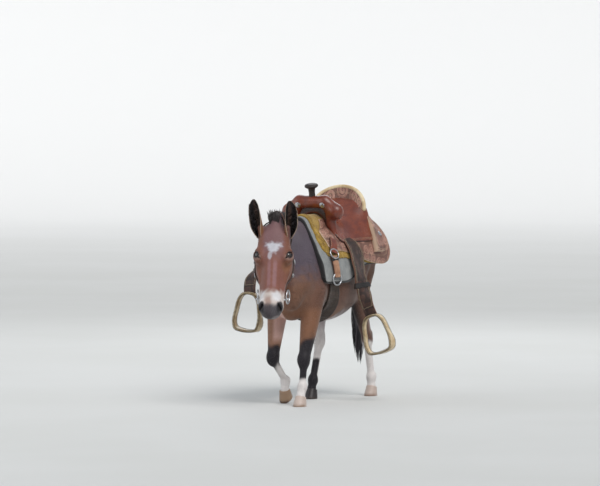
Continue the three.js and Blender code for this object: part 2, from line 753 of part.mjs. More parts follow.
// Ears, each a cupped blade with its open side to the front
function ear(s) {
  const root = onHead(s * 48, 34, -58);
  const tip = onHead(s * 50, 20, -40).add(s > 0 ? point(18, -14, 128) : point(-34, -12, 134));
  const bend = onHead(s * 55, 18, -42).lerp(tip, 0.4).add(point(s * 5, 6, 0));
  const ridge = new THREE.QuadraticBezierCurve3(root, bend, tip);
  const facing = turn(FACE_TURN + s * 30);
  const front = point(Math.sin(facing), -Math.cos(facing), 0.1).normalize();
  const WIDE = [34, 44, 52, 57, 58, 56, 48, 18];
  const WRAP = [300, 270, 225, 185, 155, 132, 112, 90];
  const from = (list, t) => {
    const i = Math.min(list.length - 2, Math.floor(t * (list.length - 1)));
    return mix(list[i], list[i + 1], t * (list.length - 1) - i);
  };
  const face = (inset) => (row, v) => {
    const u = 1 - (1 - row) ** 1.35;
    const up = ridge.getTangent(u);
    const side = front.clone().cross(up).normalize();
    const out = up.clone().cross(side).normalize();
    const wrap = turn(from(WRAP, u)) / 2;
    const radius = from(WIDE, u) / 2 / Math.sin(Math.min(wrap, Math.PI / 2));
    const a = mix(-wrap, wrap, v);
    const thick = inset * mix(5, 2.2, u) * (1 - 0.5 * Math.abs(2 * v - 1) ** 3);
    const p = ridge.getPoint(u).addScaledVector(out, radius - (radius - thick) * Math.cos(a));
    return p.addScaledVector(side, (radius - thick) * Math.sin(a));
  };
  return solid(sheet(8, 7, face(0), face(1)));
}
for (const s of [1, -1]) node(s > 0 ? "ear_left" : "ear_right", ear(s), COAT, [headClear, tuftClear]);

// Tail
const TAIL_LINE = [
  point(0, 548, 684),
  point(0, 590, 650),
  point(0, 606, 560),
  point(2, 602, 400),
  point(4, 598, 240),
  point(4, 594, 122),
];
const TAIL_SIZE = new THREE.CatmullRomCurve3(
  [24, 22, 27, 36, 33, 24, 5].map((r, i) => point(i / 6, r, 0)),
);
const tailCurve = new THREE.CatmullRomCurve3(TAIL_LINE, false, "centripetal");
const tailSize = (t) => TAIL_SIZE.getPoint(t).y;
const tailCore = solid(rod(TAIL_LINE, (t) => tailSize(t) * mix(0.92, 0.62, ramp(t, 0, 0.2)), 8, 9, 0.72));
const TAIL_LOCKS = 11;
const tailLocks = [];
for (let i = 0; i < TAIL_LOCKS; i++) {
  const from = mix(0.05, 0.66, i / (TAIL_LOCKS - 1));
  const to = Math.min(1, from + 0.3 + 0.12 * chance());
  const a = i * turn(137.5);
  const out = point(Math.cos(a), Math.sin(a) * 0.72, 0);
  const points = [0.25, 0.92, 1.02, 0.96, 0.7].map((reach, k) => {
    const t = mix(from, to, k / 4);
    return tailCurve.getPointAt(t).addScaledVector(out, tailSize(t) * reach);
  });
  tailLocks.push(lock(points, 46, 12, point(-out.y, out.x, 0)));
}
node("tail", fuse([tailCore, ...tailLocks]), BLACK_HAIR, [torsoClear]);

// Saddle
const skirtBeds = [1, -1].map((s) => bedOf(skirtShape(s)));
node("saddle_pad", layer(PAD), FELT, [bedOf(FLEECE_SHAPE), ...skirtBeds]);
const seatBeds = [bedOf(SEAT_SHAPE), bedOf(jockeyShape(1)), bedOf(jockeyShape(-1))];
node("fleece", layer(FLEECE_SHAPE), FLEECE, [...skirtBeds, ...seatBeds]);
for (const s of [1, -1]) {
  const name = s > 0 ? "left" : "right";
  node("skirt_" + name, layer(skirtShape(s)), TAN_LEATHER, seatBeds);
}

// Fork with its swells, an arch over the withers
const FORK = flesh(
  [
    bar(point(-58, 148, 843), point(58, 148, 843), 26, 26),
    ...pair((s) => bar(point(s * 58, 148, 843), point(s * 106, 150, 806), 26, 29)),
    ...pair((s) => egg(point(s * 108, 150, 800), point(32, 30, 33))),
    ...pair((s) => bar(point(s * 78, 153, 815), point(s * 84, 158, 745), 24, 18)),
    ...pair((s) => bar(point(s * 84, 158, 745), point(s * 102, 162, 690), 18, 15)),
  ],
  12,
);
const FORK_SPINE = [-102, -84, -82, -46, 0, 46, 82, 84, 102].map((x, i) => {
  const z = [695, 750, 806, 836, 842, 836, 806, 750, 695][i];
  return point(x, mix(148, 160, Math.abs(x) / 100), z);
});
const fork = (grow = 0) =>
  solid(skin(FORK, FORK_SPINE, { along: 16, around: 10, fan: 2, side: point(0, 1, 0), reach: 90, grow }));
const forkClear = fork(GAP);
node("fork", fork(), RED_LEATHER, [...skirtsClear, fleeceClear, padClear]);

// Horn
const hornShape = (grow) => {
  const profile = [
    [0, -12],
    [15 + grow, -12],
    [14 + grow, 20],
    [16 + grow, 34],
    [27 + grow, 42 - grow],
    [29 + grow, 48],
    [24 + grow, 55 + grow],
    [0, 57 + grow],
  ].map(([x, y]) => new THREE.Vector2(x, y));
  const horn = new THREE.LatheGeometry(profile, 12).rotateX(Math.PI / 2);
  return solid(horn.rotateX(turn(12)).translate(0, 146, 864));
};
node("horn", hornShape(0), BROWN_LEATHER, [forkClear]);

// Cantle: a board that curves round the seat, with a rolled rim
function cantle(grow = 0) {
  const rim = (a) => {
    const wide = 119 * mix(0.97, 1, Math.sin(a) ** 2);
    return point(wide * Math.sin(a), 446 - 42 * Math.sin(a) ** 2, 816 + 84 * Math.cos(a));
  };
  const foot = (a) => point(92 * Math.sin(a), 424 - 40 * Math.sin(a) ** 2, 762 + 26 * Math.cos(a));
  const SPREAD = turn(104);
  const face = (depth) => (u, v) => {
    const a = mix(-SPREAD, SPREAD, v);
    const p = foot(a).lerp(rim(a), u);
    const out = point(Math.sin(a) * 0.55, 1, -0.2).normalize();
    return p.addScaledVector(out, depth);
  };
  const board = sheet(2, 10, face(7 + grow), face(-7 - grow));
  const line = [];
  for (let i = 0; i <= 10; i++) line.push(rim(mix(-SPREAD, SPREAD, i / 10)));
  return fuse([solid(board), solid(rod(line, 9 + grow, 6, 10, 1, point(0, 1, 0)))]);
}
const cantleClear = cantle(3 * GAP);
node("cantle", cantle(), TAN_LEATHER, [seatClear, ...skirtsClear, fleeceClear, padClear]);
node("seat", layer(SEAT_SHAPE), RED_LEATHER, [forkClear]);
for (const s of [1, -1]) {
  const name = "rear_jockey_" + (s > 0 ? "left" : "right");
  node(name, layer(jockeyShape(s)), TAN_LEATHER, [cantleClear, seatClear]);
}

// A strap in the open: a ribbon along a line, as wide as width says, turned by its side direction
function ribbon(points, sides, width, thick, rows, columns) {
  const line = new THREE.CatmullRomCurve3(points, false, "centripetal");
  const across = new THREE.CatmullRomCurve3(sides, false, "centripetal");
  const face = (depth) => (u, v) => {
    const tangent = line.getTangentAt(u);
    const side = across.getPoint(u);
    side.addScaledVector(tangent, -side.dot(tangent)).normalize();
    const normal = side.clone().cross(tangent);
    return line
      .getPointAt(u)
      .addScaledVector(side, (v - 0.5) * width(u))
      .addScaledVector(normal, depth);
  };
  return solid(sheet(rows, columns, face(thick / 2), face(-thick / 2)));
}
const through = (list) => {
  const curve = new THREE.CatmullRomCurve3(list.map((value, i) => point(i / (list.length - 1), value, 0)));
  return (t) => curve.getPoint(t).y;
};

// Closed ring of a given section along a closed line. wide is its size along axis, thick its size across.
function loop(points, axis, wide, thick, count, around = 6) {
  const curve = new THREE.CatmullRomCurve3(points, true, "centripetal");
  const vertices = [];
  const index = [];
  for (let i = 0; i < count; i++) {
    const t = i / count;
    const tangent = curve.getTangentAt(t);
    const normal = axis.clone().cross(tangent).normalize();
    for (let k = 0; k < around; k++) {
      const a = (2 * Math.PI * (k + 0.5)) / around;
      const p = curve.getPointAt(t);
      const square = 1 / Math.max(Math.abs(Math.cos(a)), Math.abs(Math.sin(a))) ** 0.6;
      p.addScaledVector(axis, (wide(t) / 2) * Math.cos(a) * square);
      vertices.push(p.addScaledVector(normal, (thick(t) / 2) * Math.sin(a) * square));
    }
  }
  for (let i = 0; i < count; i++) {
    const j = (i + 1) % count;
    for (let k = 0; k < around; k++) {
      const l = (k + 1) % around;
      index.push(i * around + k, j * around + k, j * around + l);
      index.push(i * around + k, j * around + l, i * around + l);
    }
  }
  const geometry = new THREE.BufferGeometry().setFromPoints(vertices);
  geometry.setIndex(index);
  return geometry;
}

// Fenders with their stirrup leathers, hobble straps and stirrups
const REAR = point(0, 1, 0);
const HANGERS = [
  {
    side: 1,
    name: "left",
    line: [
      point(118, 232, 700),
      point(158, 234, 640),
      point(174, 235, 575),
      point(188, 235, 500),
      point(202, 235, 448),
      point(216, 235, 404),
      point(236, 235, 360),
    ],
    stirrup: point(260, 235, 284),
    lean: 17,
  },
  {
    side: -1,
    name: "right",
    line: [
      point(-118, 228, 700),
      point(-172, 196, 650),
      point(-218, 150, 606),
      point(-246, 106, 556),
      point(-256, 78, 512),
      point(-254, 64, 480),
      point(-250, 58, 452),
    ],
    stirrup: point(-258, 56, 373),
    lean: -6,
  },
];
const STIRRUP_LINE = [
  [-24, 80],
  [24, 80],
  [43, 58],
  [54, 10],
  [60, -40],
  [50, -68],
  [20, -76],
  [-20, -76],
  [-50, -68],
  [-60, -40],
  [-54, 10],
  [-43, 58],
];
for (const { side, name, line, stirrup, lean } of HANGERS) {
  const turned = [point(side * 0.5, 0.85, 0), point(side, 0.1, 0), point(side, 0, 0)];
  const sides = [REAR, REAR, REAR, REAR, ...turned];
  const width = through([86, 112, 116, 100, 66, 56, 54]);
  const clear = [seatClear, ...skirtsClear, fleeceClear, padClear];
  const fender = (grow) => ribbon(line, sides, (t) => width(t) + 2 * grow, 7 + 2 * grow, 12, 2);
  const leaning = new THREE.Matrix4().makeRotationY(turn(-lean));
  const place = new THREE.Matrix4().makeTranslation(stirrup).multiply(leaning);
  const path = STIRRUP_LINE.map(([x, z]) => point(x, 0, z).applyMatrix4(place));
  const tread = (t) => 34 + 22 * ramp(Math.cos(2 * Math.PI * (t - 0.5)), 0.3, 0.8);
  const stirrupOf = (grow) => solid(loop(path, REAR, (t) => tread(t) + 2 * grow, () => 10 + 2 * grow, 20));
  node("stirrup_" + name, stirrupOf(0), RAWHIDE);
  node("fender_" + name, fender(0), BROWN_LEATHER, [...clear, stirrupOf(GAP)]);
  const curve = new THREE.CatmullRomCurve3(line, false, "centripetal");
  const across = new THREE.CatmullRomCurve3(sides, false, "centripetal");
  const bandAt = [0.6, 0.63, 0.66].map((t) => curve.getPointAt(t));
  const bandSides = [0.6, 0.63, 0.66].map((t) => across.getPoint(t));
  const band = ribbon(bandAt, bandSides, () => width(0.62) + 12, 16, 2, 2);
  node("hobble_" + name, band, BLACK_LEATHER, [fender(GAP)]);
}

// Cinch under the barrel, with its rings, latigos and the dees they hang from
const bandOf = ({ from, to, rows, columns, wide, y, inner, outer, field }) => {
  const face = (offset) => (u, v) => {
    const a = mix(from, to, v);
    return over(y(a) + (u - 0.5) * wide(v), a, offset(a), field);
  };
  return solid(sheet(rows, columns, face(outer), face(inner)));
};
const girthY = (a) => 64 + 34 * Math.sin(turn(within((a - 100) / 160) * 180));
const cinchShape = (grow) => ({
  from: 112 - grow / 3,
  to: 248 + grow / 3,
  rows: 1,
  columns: 12,
  wide: (v) => mix(44, 88, ramp(0.5 - Math.abs(v - 0.5), 0, 0.14)) + 2 * grow,
  y: girthY,
  inner: () => (grow ? -30 : -2),
  outer: () => 8 + grow,
  field: TORSO,
});
const cinchClear = bandOf(cinchShape(GAP));
const softForm = [torsoClear, ...Object.values(legsClear)];
node("cinch", bandOf(cinchShape(0)), MOHAIR, [...softForm, padClear]);

// Round ring of wire at a place, facing along normal
function ringOf(at, normal, radius, wire, grow = 0, squash = 1, up = point(0, 0, 1)) {
  const u = up.clone().addScaledVector(normal, -up.dot(normal)).normalize();
  const v = normal.clone().cross(u);
  const points = [];
  for (let k = 0; k < 12; k++) {
    const a = (2 * Math.PI * k) / 12;
    const p = at.clone().addScaledVector(u, radius * Math.cos(a));
    points.push(p.addScaledVector(v, radius * squash * Math.sin(a)));
  }
  const size = () => 2 * (wire + grow);
  return solid(loop(points, normal.clone().normalize(), size, size, 12, 5));
}
const slope = (field, p) => {
  const e = 1.5;
  const at = (x, y, z) => field(point(p.x + x, p.y + y, p.z + z));
  const g = point(at(e, 0, 0) - at(-e, 0, 0), at(0, e, 0) - at(0, -e, 0), at(0, 0, e) - at(0, 0, -e));
  return g.divideScalar(2 * e);
};
function snap(field, p, level) {
  const q = p.clone();
  for (let i = 0; i < 6; i++) {
    const g = slope(field, q);
    q.addScaledVector(g, (level - field(q)) / Math.max(0.2, g.lengthSq()));
  }
  return q;
}
// A strap that lies on the flesh along a line of points
function strapOn(field, points, width, sunk, thick, rows, columns = 1) {
  const line = new THREE.CatmullRomCurve3(points, false, "centripetal");
  const face = (level) => (u, v) => {
    const t = Math.min(0.999, Math.max(0.001, u));
    const centre = snap(field, line.getPointAt(t), 2);
    const ahead = snap(field, line.getPointAt(Math.min(1, t + 0.01)), 2);
    const behind = snap(field, line.getPointAt(Math.max(0, t - 0.01)), 2);
    const side = slope(field, centre).cross(ahead.sub(behind)).normalize();
    return snap(field, centre.addScaledVector(side, (v - 0.5) * width(u)), level);
  };
  return solid(sheet(rows, columns, face(thick), face(-sunk)));
}

const layers = [...skirtsClear, fleeceClear, padClear];
for (const s of [1, -1]) {
  const name = s > 0 ? "left" : "right";
  const place = (y, a, offset) => over(y, s * a, offset);
  const ringAt = (a, y, offset) => [place(y, a, offset), slope(BED, place(y, a, offset)).normalize()];
  const [deeAt, deeOut] = ringAt(64, 62, 29.5);
  const [girthAt, girthOut] = ringAt(103, 64, 21);
  const dee = (grow) => ringOf(deeAt, deeOut, 21, 3.2, grow, 1.15);
  const girthRing = (grow) => ringOf(girthAt, girthOut, 25, 3.2, grow, 1.1);
  node("rigging_dee_" + name, dee(0), STEEL);
  node("cinch_ring_" + name, girthRing(0), STEEL);
  const strap = (list, width, level, thick, rows) =>
    strapOn(BED, list.map((at) => place(...at)), () => width, -level, level + thick, rows);
  const rings = [dee(GAP), girthRing(GAP)];
  const rigging = strap([[104, 42, 30], [84, 52, 30], [66, 60, 30], [62, 63, 30]], 40, 27, 5, 5);
  node("rigging_" + name, rigging, RED_LEATHER, [...rings, ...layers, forkClear, seatClear]);
  const latigo = strap([[62, 66, 30], [62, 80, 26], [64, 95, 20], [64, 101, 18]], 36, 16, 10, 6);
  node("latigo_" + name, latigo, TAN_LEATHER, [...rings, ...layers, cinchClear]);
}

// Bridle, on the head
const bitRing = (s, grow) => {
  const normal = onHead(s, 0.1, 0.12).sub(onHead(0, 0, 0)).normalize();
  return ringOf(onHead(s * BIT.x, BIT.y, BIT.z), normal, 28, 3.4, grow, 1, point(0, 0, 1));
};
const ringsClear = [bitRing(1, GAP), bitRing(-1, GAP)];
const skull = (list) => list.map(([x, y, z]) => onHead(x, y, z));
const headPieces = [headClear, neckClear];
for (const s of [1, -1]) {
  const name = s > 0 ? "left" : "right";
  node("bit_ring_" + name, cut(bitRing(s, 0), [headClear]), STEEL);
  const cheek = skull([
    [s * 60, 263, -104],
    [s * 70, 240, -103],
    [s * 80, 204, -104],
    [s * 82, 164, -104],
    [s * 81, 128, -103],
    [s * 79, 98, -100],
  ]);
  const piece = strapOn(HEAD_AND_NECK, cheek, () => 13, 2, 3.6, 7);
  node("cheekpiece_" + name, piece, BROWN_LEATHER, [...headPieces, ...ringsClear]);
  const at = snap(HEAD_AND_NECK, onHead(s * 80, 128, -104), 4.8);
  const out = slope(HEAD_AND_NECK, at).normalize();
  const lookOut = new THREE.Matrix4().lookAt(out, point(0, 0, 0), point(0, 0, 1)).setPosition(at);
  const profile = [[0, 0], [11, 0], [11, 1.6], [7, 3.4], [0, 4]].map(([x, y]) => new THREE.Vector2(x, y));
  const concho = new THREE.LatheGeometry(profile, 10).rotateX(Math.PI / 2);
  node("bridle_concho_" + name, solid(placed(concho, lookOut)), STEEL);
}
node("mouthpiece", mouthpiece(0), STEEL, ringsClear);
const crownSide = (s) =>
  skull([[s * 79, 97, -100], [s * 76, 72, -93], [s * 67, 44, -83], [s * 56, 18, -70]]);
const crown = [
  ...crownSide(1),
  point(46, -234, 782),
  point(23, -234, 812),
  point(0, -238, 784),
  ...crownSide(-1).reverse(),
];
node("crown", strapOn(HEAD_AND_NECK, crown, () => 15, 2, 3.6, 13), BROWN_LEATHER, headPieces);
const chin = skull([[58, 304, -114], [44, 314, -118], [0, 326, -138], [-44, 314, -118], [-58, 304, -114]]);
node("chin_strap", strapOn(HEAD_AND_NECK, chin, () => 10, 2, 3.4, 8), BROWN_LEATHER, [
  ...headPieces,
  ...ringsClear,
  mouthpiece(GAP),
]);

export default mule;
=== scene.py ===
# %% [markdown]
# # A small bay mule in western tack
# The animal walks with its head turned to its left. Its solids are already measured and packed, so this
# file loads them as a fixed frame and dresses them: one smooth skin with short fur for the body, locks
# for the mane and the tail, and finer leather, felt and steel for the tack. All lengths below are in
# millimetres in the body's own frame, where y = 0 lies at the elbows, and become metres in the frame's
# place at the very end.

# %% Frame
import math

import bmesh
import bpy
import numpy as np
from mathutils import Matrix, Vector
from mathutils.bvhtree import BVHTree


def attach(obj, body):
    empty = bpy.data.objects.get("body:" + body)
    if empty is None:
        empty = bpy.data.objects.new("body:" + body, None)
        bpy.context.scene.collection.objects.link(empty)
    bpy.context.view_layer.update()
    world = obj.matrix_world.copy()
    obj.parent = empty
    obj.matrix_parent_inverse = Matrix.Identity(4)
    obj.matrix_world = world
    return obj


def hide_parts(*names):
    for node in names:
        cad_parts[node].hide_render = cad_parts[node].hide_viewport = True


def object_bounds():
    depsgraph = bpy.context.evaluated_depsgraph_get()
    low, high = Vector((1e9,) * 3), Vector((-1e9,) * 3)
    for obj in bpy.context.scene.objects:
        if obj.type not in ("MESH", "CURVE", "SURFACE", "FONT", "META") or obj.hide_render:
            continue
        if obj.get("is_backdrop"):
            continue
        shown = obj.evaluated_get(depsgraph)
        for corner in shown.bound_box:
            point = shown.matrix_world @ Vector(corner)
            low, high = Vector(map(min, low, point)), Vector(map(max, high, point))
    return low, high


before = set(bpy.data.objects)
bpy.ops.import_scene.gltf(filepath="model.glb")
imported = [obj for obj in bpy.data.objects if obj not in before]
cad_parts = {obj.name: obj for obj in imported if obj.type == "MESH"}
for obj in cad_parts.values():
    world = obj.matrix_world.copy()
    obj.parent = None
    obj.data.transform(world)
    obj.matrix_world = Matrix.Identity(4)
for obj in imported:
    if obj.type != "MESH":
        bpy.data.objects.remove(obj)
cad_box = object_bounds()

CENTRE = np.array([4.7, 94.4, 0.0])
rng = np.random.default_rng(11)
print("solids", len(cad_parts), "box", [round(v, 3) for v in (*cad_box[0], *cad_box[1])])


def to_row(points):
    """Millimetres of the body's frame to metres of the shared frame."""
    return (np.asarray(points, float) - CENTRE) * 0.001

# %% [markdown]
# ## Camera and light
# The photograph looks from the mule's front left, hardly above its back, through a long lens. A camera
# far away with a long focal length gives the same flat perspective. The light is that of an overcast day:
# a bright, even sky, one very broad sun from the left so that the saddle and the belly still shade
# themselves, and two large lamps that open up the shadows.

# %% Camera and light
AZIMUTH, ELEVATION, DISTANCE = 26.0, 2.3, 18.0
SENSOR_WIDTH, FOCAL_LENGTH, VIEW_LIMIT = 36.0, 258.4, 100.0
AIM = Vector(to_row((18.8, -10.8, 675)))
LAMP_AIM = Vector((0, 0, 0.5))


def new_object(name, data):
    made = bpy.data.objects.new(name, data)
    bpy.context.collection.objects.link(made)
    return made


def soft_lamp(name, place, size, power, colour):
    data = bpy.data.lights.new(name, "AREA")
    data.shape, data.size, data.energy, data.color = "DISK", size, power, colour
    lamp = new_object(name, data)
    lamp.location = place
    lamp.rotation_euler = (LAMP_AIM - Vector(place)).to_track_quat("-Z", "Y").to_euler()


turn, lift = math.radians(AZIMUTH), math.radians(ELEVATION)
away = Vector((math.sin(turn) * math.cos(lift), -math.cos(turn) * math.cos(lift), math.sin(lift)))
camera = new_object("camera", bpy.data.cameras.new("camera"))
camera.data.sensor_width = SENSOR_WIDTH
camera.data.lens = FOCAL_LENGTH
camera.data.clip_end = VIEW_LIMIT
camera.location = AIM + away * DISTANCE
camera.rotation_euler = (-away).to_track_quat("-Z", "Y").to_euler()
bpy.context.scene.camera = camera

world = bpy.data.worlds.new("overcast sky")
world.use_nodes = True
sky = world.node_tree.nodes["Background"].inputs
sky["Color"].default_value = (0.86, 0.93, 1.0, 1)
sky["Strength"].default_value = 0.5
bpy.context.scene.world = world
bpy.context.scene.view_settings.view_transform = "Standard"

sun = new_object("key", bpy.data.lights.new("key", "SUN"))
sun.data.energy, sun.data.angle, sun.data.color = 2.1, math.radians(38), (1.0, 0.98, 0.95)
sun.rotation_euler = Vector((3.0, -2.2, 4.2)).to_track_quat("Z", "Y").to_euler()
soft_lamp("fill", (-3.5, -3.0, 2.5), 4.0, 38, (0.93, 0.97, 1.0))
soft_lamp("back", (-1.5, 4.5, 3.5), 3.0, 50, (0.95, 0.98, 1.0))
print("camera", [round(v, 2) for v in camera.location])

# %% [markdown]
# ## Soft forms
# A body is muscle over bone, so hard edges are rare. Each form below is a function that gives about how
# far a point lies outside it, with a minus sign inside. Two forms join with a fillet when the smaller of
# their two depths is rounded off. These are the same forms that the solids are cut from, so the skin has
# the same shape.

# %% Soft forms
SIDES = ((1, "left"), (-1, "right"))


def bar(a, b, r0, r1, flat=1.0):
    """A rod from a to b with round ends, r0 thick at a and r1 at b. flat narrows it from side to side."""
    a, b = np.array(a, float), np.array(b, float)
    run = b - a
    size = float(run @ run) or 1.0

    def depth(p):
        q = p - a
        t = np.clip(q @ run / size, 0, 1)
        x, y, z = (q - t[:, None] * run).T
        return (np.sqrt((x / flat) ** 2 + y * y + z * z) - (r0 + (r1 - r0) * t)) * min(1.0, flat)

    return depth


def egg(centre, radii):
    """A ball with three radii of its own."""
    c, r = np.array(centre, float), np.array(radii, float)

    def depth(p):
        q = (p - c) / r
        near = np.sqrt((q * q).sum(1))
        slope = np.sqrt(((q / r) ** 2).sum(1))
        return np.where(slope < 1e-9, -r.min(), near * (near - 1) / np.maximum(slope, 1e-9))

    return depth


def blend(d, e, soft):
    h = np.clip(0.5 + 0.5 * (e - d) / soft, 0, 1)
    return e + (d - e) * h - soft * h * (1 - h)


def carve(d, e, soft):
    return -blend(-d, e, soft)


def flesh(forms, soft):
    """All forms joined one after the other with a fillet of size soft."""
    def depth(p):
        d = forms[0](p)
        for form in forms[1:]:
            d = blend(d, form(p), soft)
        return d

    return depth


def pair(make):
    return [make(1), make(-1)]


def ramp(t, a, b):
    """A smooth step of t from 0 at a to 1 at b."""
    s = np.clip((np.asarray(t, float) - a) / (b - a), 0, 1)
    return s * s * (3 - 2 * s)


def mix(a, b, t):
    return a + (b - a) * t


def rotate(x, y, angle):
    c, s = math.cos(angle), math.sin(angle)
    return x * c - y * s, x * s + y * c

# %% Torso and neck
torso_form = flesh(
    [
        egg((0, 180, 530), (148, 280, 190)),
        egg((0, -50, 520), (104, 132, 170)),
        bar((0, -20, 706), (0, 110, 704), 36, 44, 0.85),
        bar((0, 5, 732), (0, 55, 734), 30, 32, 0.8),
        bar((0, 100, 640), (0, 400, 652), 84, 104),
        egg((0, 240, 468), (137, 242, 126)),
        *pair(lambda s: bar((s * 22, 25, 694), (s * 72, -105, 500), 28, 42)),
        *pair(lambda s: egg((s * 44, -142, 474), (50, 46, 74))),
        *pair(lambda s: egg((s * 80, -15, 470), (42, 85, 100))),
        *pair(lambda s: egg((s * 62, 350, 560), (68, 120, 130))),
        *pair(lambda s: egg((s * 56, 428, 640), (78, 142, 126))),
        *pair(lambda s: egg((s * 58, 520, 600), (62, 68, 112))),
        bar((0, 500, 690), (0, 570, 672), 40, 26),
    ],
    32,
)
neck_form = flesh(
    [
        bar((0, 30, 712), (23, -238, 758), 38, 32, 0.75),
        egg((23, -236, 786), (19, 26, 24)),
        bar((0, -20, 640), (25, -238, 694), 92, 58, 0.74),
        bar((0, -100, 560), (25, -232, 652), 80, 42, 0.72),
    ],
    34,
)

# %% Head
POLL = np.array([30.0, -278.0, 768.0])
HEAD_TURN, HEAD_DROP = math.radians(21), math.radians(60)
HEAD = Matrix.Rotation(HEAD_TURN, 3, "Z") @ Matrix.Rotation(HEAD_DROP, 3, "X") @ Matrix.Diagonal((1, -1, 1))
HEAD = np.array(HEAD)


def on_head(*p):
    return POLL + HEAD @ np.array(p, float)


def head_place(p):
    return (p - POLL) @ HEAD


skull_form = flesh(
    [
        egg((0, 44, -66), (68, 80, 62)),
        egg((0, 96, -50), (71, 92, 46)),
        *pair(lambda s: egg((s * 45, 133, -46), (37, 44, 35))),
        bar((0, 132, -48), (0, 344, -52), 42, 32),
        bar((0, 174, -80), (0, 350, -68), 47, 39, 1.3),
        *pair(lambda s: egg((s * 41, 152, -110), (39, 82, 56))),
        *pair(lambda s: bar((s * 32, 200, -124), (s * 14, 336, -98), 24, 16)),
        *pair(lambda s: bar((s * 70, 116, -78), (s * 49, 236, -70), 11, 8)),
        egg((0, 362, -60), (48, 44, 39)),
        *pair(lambda s: egg((s * 33, 366, -40), (18, 29, 20))),
        egg((0, 388, -66), (35, 20, 28)),
        egg((0, 364, -103), (26, 30, 18)),
    ],
    15,
)

# %% Legs
def beside(s):
    """A step from a point on one side of the body: outwards, back and up."""
    return lambda p, x, y, z: p + np.array([s * x, y, z])


def behind(joint, fetlock, deep):
    """A step from the cannon bone to the tendons behind it."""
    shin = (joint - fetlock) / np.linalg.norm(joint - fetlock)
    return np.array([0, shin[2], -shin[1]]) * deep


def foot(fetlock, hoof, rear):
    return [egg(fetlock, (19, 20, 21)), egg(fetlock + rear, (15, 11, 15)), bar(fetlock, hoof, 16, 21)]


def foreleg(s, elbow, knee, fetlock, hoof):
    off, rear, arm = beside(s), behind(knee, fetlock, 11), (elbow + knee) / 2
    forms = [
        bar(off(elbow, 0, 0, 50), elbow + (knee - elbow) * 0.9, 61, 29, 0.87),
        bar(off(elbow, 2, -30, 0), off(arm, 2, -12, -6), 32, 20),
        bar(off(elbow, 0, 32, 14), off(arm, 0, 14, 0), 28, 18),
        egg(knee, (28.5, 28, 38)),
        egg(off(knee, 0, -10, 2), (21, 16, 26)),
        bar(off(knee, 0, 12, 12), off(knee, 0, 10, -14), 15, 12),
        bar(knee, fetlock, 16, 15),
        bar(off(knee, 0, 9, -20), fetlock + rear, 11, 10, 0.8),
    ]
    return flesh(forms + foot(fetlock, hoof, rear * 1.1), 13)


def hindleg(s, hip, stifle, hock, fetlock, hoof):
    off, rear = beside(s), behind(hock, fetlock, 12)
    heel = off(hock, 0, 26, 22)
    forms = [
        bar(hip, off(stifle, -14, 30, 0), 84, 66, 0.8),
        egg(stifle, (42, 46, 60)),
        bar(off(stifle, -8, 30, -10), hock, 52, 24, 0.78),
        bar(off(hip, 0, 88, -90), off(stifle, -6, 96, -60), 54, 34, 0.8),
        bar(off(stifle, -6, 92, -70), heel, 30, 12, 0.75),
        egg(hock, (23, 27, 36)),
        bar(heel, off(hock, 0, 8, -10), 12, 14),
        bar(hock, fetlock, 18, 16, 0.95),
        bar(off(hock, 0, 12, -14), fetlock + rear, 12, 10.5, 0.8),
    ]
    return flesh(forms + foot(fetlock, hoof, rear * 1.05), 15)


# Middles of the joints from the elbow or the hip down
JOINTS = {
    "front_left": [(84, -8, 424), (76, -92, 190), (74, -104, 80), (73, -116, 40)],
    "front_right": [(-84, 4, 424), (-80, -66, 194), (-61, 12, 92), (-58, 3, 54)],
    "hind_left": [(62, 440, 620), (84, 372, 478), (86, 506, 246), (85, 550, 82), (85, 552, 40)],
    "hind_right": [(-62, 430, 620), (-86, 322, 474), (-68, 356, 244), (-68, 292, 82), (-71, 286, 40)],
}
leg_forms = {
    name: (foreleg if "front" in name else hindleg)(1 if "left" in name else -1, *np.array(points, float))
    for name, points in JOINTS.items()
}

# %% [markdown]
# ## Eyes, nostrils, mouth and the feet of the ears
# The lids are a thin shell of skin over the ball, cut open along an almond. Nostrils are comma-shaped
# hollows, and the mouth is a groove between the lips. All of them are carved in the same field of depths,
# so that the skin runs over them without a seam. The hide lies a little inside the solids, by the depth
# of the fur on it.

# %% Skin field
EYE_RADIUS = 15.0
EYE_OUT = math.radians(46)
EYE_SLANT = math.radians(38)
NOSTRIL_SLANT = math.radians(24)
eye_centre = {s: np.array([s * 61.0, 136.0, -31.0]) for s in (1, -1)}
nostril_centre = {s: np.array([s * 37.5, 375.0, -33.0]) for s in (1, -1)}


def eye_frame(q, s):
    """Head coordinates to the eye's own.

    They run along its slit towards the nose, across it towards the jaw, and out.
    """
    d = q - eye_centre[s]
    across = s * (d[:, 0] * math.cos(s * EYE_OUT) - d[:, 2] * math.sin(s * EYE_OUT))
    out = d[:, 0] * math.sin(s * EYE_OUT) + d[:, 2] * math.cos(s * EYE_OUT)
    c, t = math.cos(EYE_SLANT), math.sin(EYE_SLANT)
    return d[:, 1] * c - across * t, across * c + d[:, 1] * t, out


def above_mouth(q):
    """Height over the line between the lips, which dips a little."""
    return q[:, 2] + 88 - 2 * np.cos(q[:, 1] / 11)


